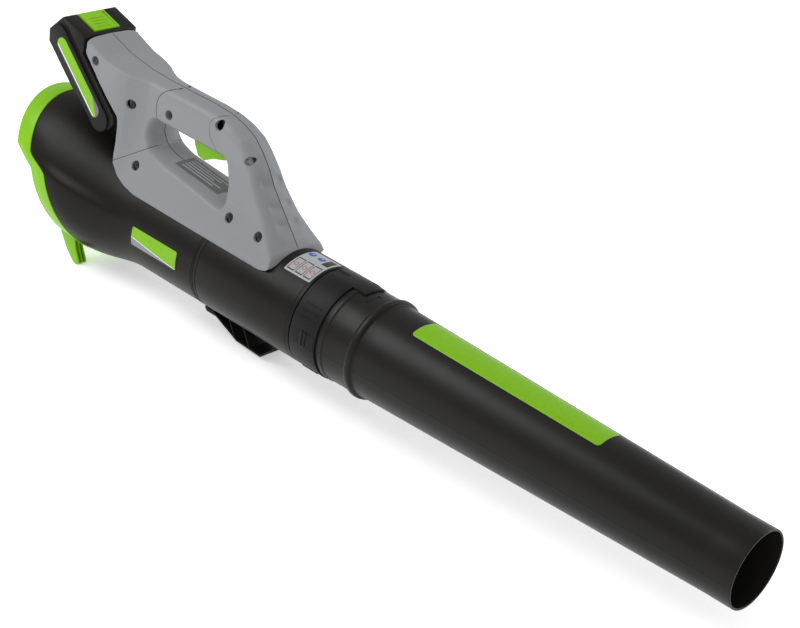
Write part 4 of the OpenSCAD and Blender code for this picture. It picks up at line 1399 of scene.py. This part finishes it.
    def rating(self) -> bpy.types.Object:
        """The dark film on the lower bar, draped over the bar's rounded top.

        Returns:
            The new object.
        """
        x = np.linspace(-0.210, -0.148, 40)[:, None]
        side = np.linspace(-1, 1, 25)[None]
        lower = self.gap[self.gap[:, 1] < 0.085]
        order = np.argsort(lower[:, 0])
        base = np.interp(x, lower[order, 0], lower[order, 1])
        y = 0.0125 * side + 0 * x
        width = self.half_width(x, base - 0.004)
        drop = self.gap_round * (1 - (1 - np.clip(np.abs(y) / width, 0, 0.999) ** 2.3) ** (1 / 2.3))
        grid = np.stack([x + self.duct.joint_x + 0 * y, y, base + 0.00035 - drop], -1)
        uv = np.stack([(x + 0.210) / 0.062 + 0 * y, 0.5 + 0.5 * side + 0 * x], -1)
        return surface("rating_film", grid, uv=uv, outside=(-0.67, 0, 0.03))


# ---------------------------------------------------------------- battery

@dataclass
class PackFrame:
    """The pack's own axes: u along its slide, v across and w away from the dock."""

    origin: tuple = (-0.803, 0.0, 0.127)
    tilt: float = 42.0

    @property
    def matrix(self) -> Matrix:
        """Pack axes to the shared frame."""
        return Matrix.Translation(self.origin) @ Matrix.Rotation(math.radians(180 + self.tilt), 4, "Y")

    def place(self, grid: np.ndarray) -> np.ndarray:
        """Moves points from the pack's axes to the shared frame."""
        turn = np.array(self.matrix)
        return grid @ turn[:3, :3].T + turn[:3, 3]


@dataclass
class Battery:
    """The slide-on pack: case, cover, side badges and latch button."""

    axes: PackFrame
    pad_half: float = 0.0359
    cell_w: float = 0.0194

    def badges(self) -> None:
        """A film on each side pad: a stadium whose height falls to nothing at its rim.

        The first parameter runs along the pad and the second across it.
        """
        radius, low, high = 0.0074, -0.0225, 0.0505
        t = np.linspace(0, math.pi, 25)
        u = np.concatenate([low - radius * np.cos(t[:13]), np.linspace(low, high, 40)[1:-1],
                            high - radius * np.cos(t[12:])])[:, None]
        half = np.sqrt(np.clip(radius ** 2 - np.clip(np.maximum(low - u, u - high), 0, None) ** 2, 1e-10,
                               None))
        v = np.linspace(-1, 1, 17)[None]
        for number, side in enumerate((-1, 1)):
            rise = 0.0004 * ease((1 - np.abs(v)) * 12) * ease(half / 0.002)
            grid = np.stack([u + 0 * v, side * (self.pad_half + rise), self.cell_w + half * v], -1)
            uv = np.stack([(u - low + radius) / (high - low + 2 * radius) + 0 * v,
                           0.5 + 0.5 * v * half / radius * (-1)], -1)
            middle = self.axes.place(np.array([[0.01, 0.0, self.cell_w]]))[0]
            piece = surface(f"pack_badge_{number}", self.axes.place(grid), uv=uv, outside=middle)
            dress(smooth(piece, 60), Finish.BADGE_FILM, "battery", "lime_plastic",
                  *(("pack_badges",) if number == 0 else ()))

    def build(self) -> None:
        """Builds every piece of the pack."""
        dress(softened("pack_case", 1.6, 4, 30), Finish.SOFT, "battery", "soft_black", "pack_case")
        dress(softened("pack_cover", 0.7, 3, 30), Finish.BODY, "battery", "housing_black", "pack_cover")
        dress(softened("latch_button", 0.6, 3, 30), Finish.LIME, "latch", "lime_plastic", "latch_button")
        self.badges()


# ---------------------------------------------------------------- inner works and stage

@dataclass
class Works:
    """Trigger, switch, motor and wiring: CAD shapes with rounded edges and their own finishes."""

    def build(self) -> None:
        """Softens the pieces that show and dresses the rest."""
        soft = (("trigger", 1.2, Finish.LIME, "trigger_lever", "lime_plastic"),
                ("stator", 0.3, Finish.SOFT, "housing", "soft_black"),
                ("tail_cone", 0.5, Finish.SOFT, "housing", "soft_black"),
                ("battery_dock", 0.4, Finish.SOFT, "housing", "soft_black"),
                ("switch_body", 0.5, Finish.SOFT, "housing", "soft_black"),
                ("switch_plunger", 0.3, Finish.SOFT, "plunger", "soft_black"))
        for node, width, finish, body, slot in soft:
            dress(softened(node, width, 3, 36), finish, body, slot, node)
        plain = {"motor_can": Finish.STEEL, "motor_windings": Finish.COPPER, "bearings": Finish.STEEL,
                 "motor_shaft": Finish.STEEL,
                 "rotor_core": Finish.MAGNET, "motor_mounts": Finish.RUBBER, "motor_leads": Finish.WIRE,
                 "trigger_pin": Finish.STEEL,
                 "trigger_spring": Finish.STEEL, "controller": Finish.BOARD, "terminals": Finish.BRASS,
                 "supply_leads": Finish.WIRE,
                 "pack_cells": Finish.CELL, "cell_straps": Finish.BRASS, "pack_board": Finish.BOARD,
                 "pack_contacts": Finish.BRASS,
                 "latch_springs": Finish.STEEL}
        for node, finish in plain.items():
            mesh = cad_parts[node].data
            mesh.materials.clear()
            mesh.materials.append(finish.cached)
            LOG.info("%s: dressed", node)


@dataclass
class Stage:
    """The floor, lights and camera."""

    azimuth: float = 37.86
    elevation: float = 27.66
    roll: float = 9.93
    distance: float = 1.61495
    right: float = 0.28833
    up: float = -0.20700
    lens: float = 90.0
    floor_z: float = -0.070

    def axes(self) -> tuple:
        """The camera's right, up and back directions.

        Returns:
            Three unit vectors.
        """
        a, e, r = (math.radians(v) for v in (self.azimuth, self.elevation, self.roll))
        back = Vector((math.sin(a) * math.cos(e), -math.cos(a) * math.cos(e), math.sin(e)))
        right = (-back).cross(Vector((0, 0, 1))).normalized()
        up = right.cross(-back)
        return right * math.cos(r) + up * math.sin(r), -right * math.sin(r) + up * math.cos(r), back

    def camera(self) -> None:
        """Sets the camera back from the mouth, then across and up."""
        right, up, back = self.axes()
        data = bpy.data.cameras.new("camera")
        data.lens, data.sensor_width, data.clip_start, data.clip_end = self.lens, 36.0, 0.05, 20.0
        piece = bpy.data.objects.new("camera", data)
        place = Matrix((right, up, back)).transposed().to_4x4()
        place.translation = back * self.distance - right * self.right - up * self.up
        piece.matrix_world = place
        bpy.context.scene.collection.objects.link(piece)
        bpy.context.scene.camera = piece

    def light(self, name: str, place: tuple, size: tuple, watts: float, colour: tuple = (1, 1, 1)) -> None:
        """A soft box aimed at the middle of the blower.

        Args:
            name: its name.
            place: (right, up, back) from the middle, in the camera's axes.
            size: its two sides.
            watts: its power.
            colour: its colour.
        """
        right, up, back = self.axes()
        middle = Vector((-0.42, 0.0, 0.03))
        at = middle + right * place[0] + up * place[1] + back * place[2]
        data = bpy.data.lights.new(name, "AREA")
        data.shape, data.size, data.size_y = "RECTANGLE", size[0], size[1]
        data.energy, data.color = watts, colour
        piece = bpy.data.objects.new(name, data)
        piece.location = at
        piece.rotation_euler = (middle - at).to_track_quat("-Z", "Y").to_euler()
        bpy.context.scene.collection.objects.link(piece)

    def build(self) -> None:
        """Makes the floor, the world, the lights and the camera."""
        a = np.linspace(-4, 4, 9)
        grid = np.stack([np.broadcast_to(a[:, None], (9, 9)) - 0.4, np.broadcast_to(a[None], (9, 9)),
                         np.full((9, 9), self.floor_z)], -1)
        floor = surface("floor", grid, outside=(0, 0, -1))
        s = Sketch("studio_floor")
        s.join(s.blend(s.spread(s.noise(s.coords(), 1.5), 0, 1), (0.93, 0.93, 0.93, 1),
                       (0.95, 0.95, 0.95, 1)), s.shader.inputs["Base Color"])
        s.shader.inputs["Roughness"].default_value = 0.9
        s.shader.inputs["Emission Color"].default_value = (1.0, 1.0, 1.0, 1.0)
        s.shader.inputs["Emission Strength"].default_value = 0.42
        floor.data.materials.append(s.material)
        world = bpy.data.worlds.new("studio")
        world.use_nodes = True
        world.node_tree.nodes["Background"].inputs[0].default_value = (1, 1, 1, 1)
        world.node_tree.nodes["Background"].inputs[1].default_value = 0.54
        bpy.context.scene.world = world
        self.light("key", (-1.1, 1.3, 0.6), (1.0, 1.0), 17)
        self.light("rim", (1.4, 0.9, -0.5), (0.5, 1.6), 11)
        self.light("fill", (0.3, -0.2, 2.2), (1.6, 1.2), 4)
        self.camera()
        bpy.context.scene.view_settings.view_transform = "Standard"


def main() -> None:
    """Builds the blower in order."""
    logging.basicConfig(level=logging.INFO, format="%(message)s")
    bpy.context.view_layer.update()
    duct = Duct()
    Stage().build()
    BlowTube(duct).build()
    Housing(duct).build()
    Intake(duct).build()
    Rotor(duct).build()
    Works().build()
    Battery(PackFrame()).build()
    Handle(duct).build()


if __name__ == "__main__":
    main()
